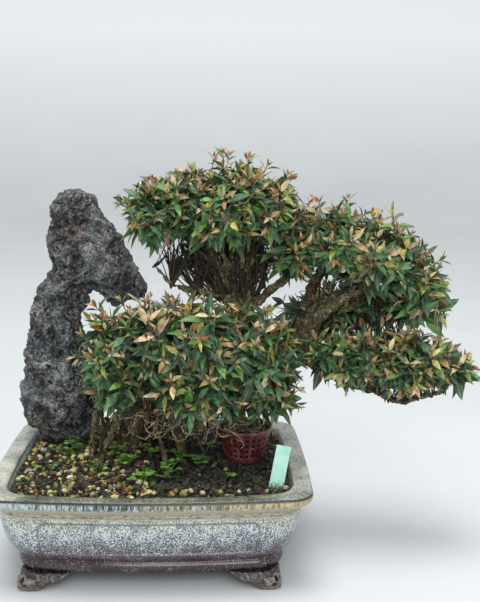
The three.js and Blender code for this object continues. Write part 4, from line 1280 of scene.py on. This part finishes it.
def grow_shoot(tip, away, depth, chance):
    """The leaf numbers of one shoot, and the two ends of its stem. A depth over 1 is a long thin one."""
    rise = 0.5 if away.z > -0.1 else 0.05
    sway = Vector((chance.gauss(0, 0.35), chance.gauss(0, 0.35), chance.gauss(0, 0.25)))
    stem = (away + Vector((0, 0, rise)) + sway).normalized()
    length = chance.uniform(15, 30) + (8 if depth > 1 else 0)
    base = tip - stem * length
    side = stem.cross(Vector((chance.uniform(-1, 1), chance.uniform(-1, 1), 0.3))).normalized()
    turn = chance.uniform(0, math.pi)
    sunny = 0.75 * max(away.z, 0) + 0.25 * (depth - 0.6) / 0.4
    vigour = chance.uniform(0.75, 1.2)
    rows = []
    for n, (share, size, lean) in enumerate(LONG_SHOOT_PAIRS if depth > 1 else SHOOT_PAIRS):
        joint = base.lerp(tip, share)
        for half in (0, math.pi):
            spread = turn + n * math.pi / 2 + half + chance.gauss(0, 0.25)
            around = Matrix.Rotation(spread, 3, stem) @ side
            opened = lean + chance.gauss(0, 0.2)
            run = stem * math.cos(opened) + around * math.sin(opened)
            run.z -= chance.uniform(0.0, 0.55) * (1.15 - sunny) * (1.2 - 0.22 * n)
            if n >= 3 and chance.random() < 0.34 + 0.66 * sunny:
                tint = pick(chance, YOUNG)
            elif chance.random() < (0.08 + 0.5 * sunny) * (0.5 + 0.25 * n):
                tint = pick(chance, GROWN if n < 2 or chance.random() < 0.5 else YOUNG)
            else:
                tint = pick(chance, OLD)
            long = size * vigour * chance.uniform(0.75, 1.15)
            wide = long * chance.uniform(0.25, 0.38)
            bends = chance.uniform(0.0, 0.4), chance.uniform(0.1, 0.6), chance.gauss(0, 0.5)
            rows.append(leaf_row(joint + run.normalized() * 1.2, run, stem, long, wide, *bends, tint))
    return rows, (base, tip)


def broom_lines(crown, wood, chance):
    """Long bare twigs that climb from the older wood to the underside of a crown."""
    centre, radii, count, low_rise, high_rise = crown["broom"]
    lines = []
    for _ in range(count):
        out = stray(chance, 1).normalized() * chance.random() ** 0.4
        tip = Vector(centre) + out * Vector(radii)
        away = wood - np.array(tip)
        rise = chance.uniform(low_rise, high_rise)
        cost = np.hypot(away[:, 0], away[:, 1]) + 0.9 * np.abs(away[:, 2] + rise)
        start = Vector(wood[chance.choice(np.argsort(cost)[:10].tolist())])
        bow = Vector((chance.gauss(0, 2.2), chance.gauss(0, 2.2), chance.uniform(-3.5, 0)))
        thick = chance.uniform(0.6, 1.3)
        steps = (0.0, 0.2, 0.4, 0.6, 0.8, 1.0)
        lines.append([(start.lerp(tip, s) + bow * 4 * s * (1 - s), thick * (1 - 0.55 * s)) for s in steps])
    return lines


def twig_lines(stems, wood, chance):
    """Twigs that join each stem to older wood near it, thicker where more hangs on them."""
    places = np.zeros((len(wood) + 4 * len(stems), 3))
    places[: len(wood)] = wood
    trail = np.zeros(len(places))
    owner = [-1] * len(wood)
    known = len(wood)
    nearest = [np.linalg.norm(places[:known] - np.array(base), axis=1).min() for base, _ in stems]
    paths, parents = [], []
    for k in np.argsort(nearest):
        base, tip = stems[k]
        away = places[:known] - np.array(base)
        cost = np.linalg.norm(away, axis=1) + 0.6 * np.maximum(away[:, 2], 0) + 0.5 * trail[:known]
        best = int(np.argmin(cost))
        start = Vector(places[best])
        reach = (base - start).length
        path = [start]
        for share in (0.25, 0.5, 0.75, 1.0):
            path.append(start.lerp(base, share) + stray(chance, 0.06) * reach * (share < 1))
        parents.append(owner[best])
        places[known : known + 4] = [p[:] for p in path[1:]]
        trail[known : known + 4] = trail[best] + reach * np.array((0.25, 0.5, 0.75, 1.0))
        owner += [len(paths)] * 4
        known += 4
        paths.append(path + [tip])
    load = [1] * len(paths)
    for n in reversed(range(len(paths))):
        if parents[n] >= 0:
            load[parents[n]] += load[n]
    lines = []
    for path, weight in zip(paths, load):
        thick = min(0.62 * weight**0.4, 2.4)
        widths = [thick, thick * 0.95, thick * 0.88, thick * 0.78, thick * 0.7, 0.42]
        lines.append([(spot(*place), width) for place, width in zip(path, widths)])
    return lines


def shoot_stems(name, shoots, chance):
    """The young stems of a crown's shoots, as one piece tinted from red brown to olive."""
    lines = [[(spot(*base), 0.75), (spot(*tip), 0.5)] for _, (base, tip) in shoots]
    stalks = rolled(name, lines, 0)
    each = len(stalks.data.vertices) // len(lines)
    tints = [pick(chance, STEM_TINTS) + [1.0] for _ in lines]
    tint_points(stalks.data, np.repeat(np.array(tints), each, axis=0))
    return stalks


jasmine_leaf = leaf_material("jasmine leaf", "#a5ab84", 0.3)
# Twig bark: dull dark brown with paler flecks, and darker still as painted shade for the thicket under the
# crowns.
twig_bark = mottled_material(
    "twig bark", 0.85, 3.5, [(0.36, "#130f0b"), (0.5, "#2c241a"), (0.62, "#4d412e"), (0.74, "#7c6c50")], 0.3
)
wood_points = places_of(copy_of("tree", "wood_skin"))[0]
bpy.data.objects.remove(bpy.data.objects["wood_skin"])
for name, crown in CROWNS.items():
    chance = random.Random(crown["seed"])
    shoots = [grow_shoot(*tip, chance) for tip in shoot_tips(crown, chance)]
    rows = [row for leaves, _ in shoots for row in leaves]
    stalks = shoot_stems(name + "_shoots", shoots, chance)
    settle(join([leaf_layer(name + "_blades", rows), stalks], name + "_leaves"), jasmine_leaf, "leaf", name)
    near = np.zeros(len(wood_points), bool)
    for centre, radii in crown["lobes"] + [crown["broom"][:2]]:
        near |= np.linalg.norm(wood_points - np.array(centre), axis=1) < max(radii) * 1.1
    broom = broom_lines(crown, wood_points[near], chance)
    wood = np.concatenate([wood_points[near], [place[:] for line in broom for place, _ in line[2:]]])
    broom = [[(spot(*place), width) for place, width in line] for line in broom]
    twigs = rolled(name + "_twigs", broom + twig_lines([ends for _, ends in shoots], wood, chance), 0)
    smooth(twigs)
    settle(twigs, twig_bark, "bark")


# Floor: a pale matt sheet that sweeps up behind the tree, so that the camera sees no far edge.
# The studio round it is a pale even light, with one soft box overhead and one in front.
FLOOR_SIZE = 9
WALL_HEIGHT = 4.5
WALL_CURVE = 2.0


def floor_material():
    """Matt sheet: pale and a little cloudy, and paler still up the wall."""
    material, tree, where = start_material("pale matt sheet", 0.7)
    cloud = node(tree, "TexNoise", "Fac", {"Vector": where, "Scale": 1 / 400})
    colour = node(tree, "ValToRGB", "Color", {0: cloud}, stops=[(0.3, "#c3c6c7"), (0.7, "#c9cccd")])
    height = node(tree, "SeparateXYZ", "Z", {0: where})
    wall = node(tree, "MapRange", "Result", {"Value": height, "From Min": 100, "From Max": 900})
    colour = node(tree, "Mix", 2, {0: wall, 6: colour, 7: "#f2f3f4"}, data_type="RGBA")
    return finish_material(material, colour)


clear_selection()
bpy.ops.mesh.primitive_plane_add(size=FLOOR_SIZE, location=(0, 0, pot_low.z - 0.2 * MM))
floor = bpy.context.object
floor.name = "floor"
bpy.ops.object.transform_apply(location=True, rotation=True, scale=True)
for face in floor.data.polygons:
    face.select = False
for edge in floor.data.edges:
    edge.select = all(floor.data.vertices[i].co.y > 1 for i in edge.vertices)
for vertex in floor.data.vertices:
    vertex.select = vertex.co.y > 1
bpy.ops.object.mode_set(mode="EDIT")
bpy.ops.mesh.select_mode(type="EDGE")
bpy.ops.mesh.extrude_region_move(TRANSFORM_OT_translate={"value": (0, 0, WALL_HEIGHT)})
bpy.ops.mesh.select_all(action="SELECT")
bpy.ops.mesh.normals_make_consistent(inside=False)
bpy.ops.object.mode_set(mode="OBJECT")
apply_modifier(floor, "BEVEL", width=WALL_CURVE, segments=16, limit_method="ANGLE")
smooth(floor)
dress(floor, floor_material())

world = bpy.data.worlds.new("studio")
bpy.context.scene.world = world
world.use_nodes = True
world.node_tree.nodes["Background"].inputs["Color"].default_value = linear("#f2f5f8")
world.node_tree.nodes["Background"].inputs["Strength"].default_value = 0.91
bpy.context.scene.view_settings.view_transform = "Standard"


def soft_light(name, place, size, power):
    """A square soft box aimed at the tree."""
    lamp = bpy.data.lights.new(name, "AREA")
    lamp.size = size
    lamp.energy = power
    piece = bpy.data.objects.new(name, lamp)
    bpy.context.collection.objects.link(piece)
    piece.location = place
    piece.rotation_euler = (spot(60, 0, 200) - place).to_track_quat("-Z", "Y").to_euler()


soft_light("overhead", spot(-100, -300, 2600), 1.2, 46)
soft_light("front", spot(300, -2200, 1500), 1.6, 30)


# Camera: at the place and height that the photograph was taken from, looking a little down.
CAMERA_PLACE = spot(44.3, -856.6, 406.4)
CAMERA_PITCH = 0.1862
CAMERA_YAW = -0.0423
CAMERA_ROLL = 0.0136
IMAGE_HEIGHT = 602
FOCAL_PIXELS = 923.9

lens = bpy.data.cameras.new("camera")
lens.sensor_width = 36
lens.lens = FOCAL_PIXELS * lens.sensor_width / IMAGE_HEIGHT
camera = bpy.data.objects.new("camera", lens)
bpy.context.collection.objects.link(camera)
aim = Matrix.Rotation(CAMERA_YAW, 4, "Z") @ Matrix.Rotation(math.pi / 2 - CAMERA_PITCH, 4, "X")
camera.matrix_world = Matrix.Translation(CAMERA_PLACE) @ aim @ Matrix.Rotation(CAMERA_ROLL, 4, "Z")
bpy.context.scene.camera = camera
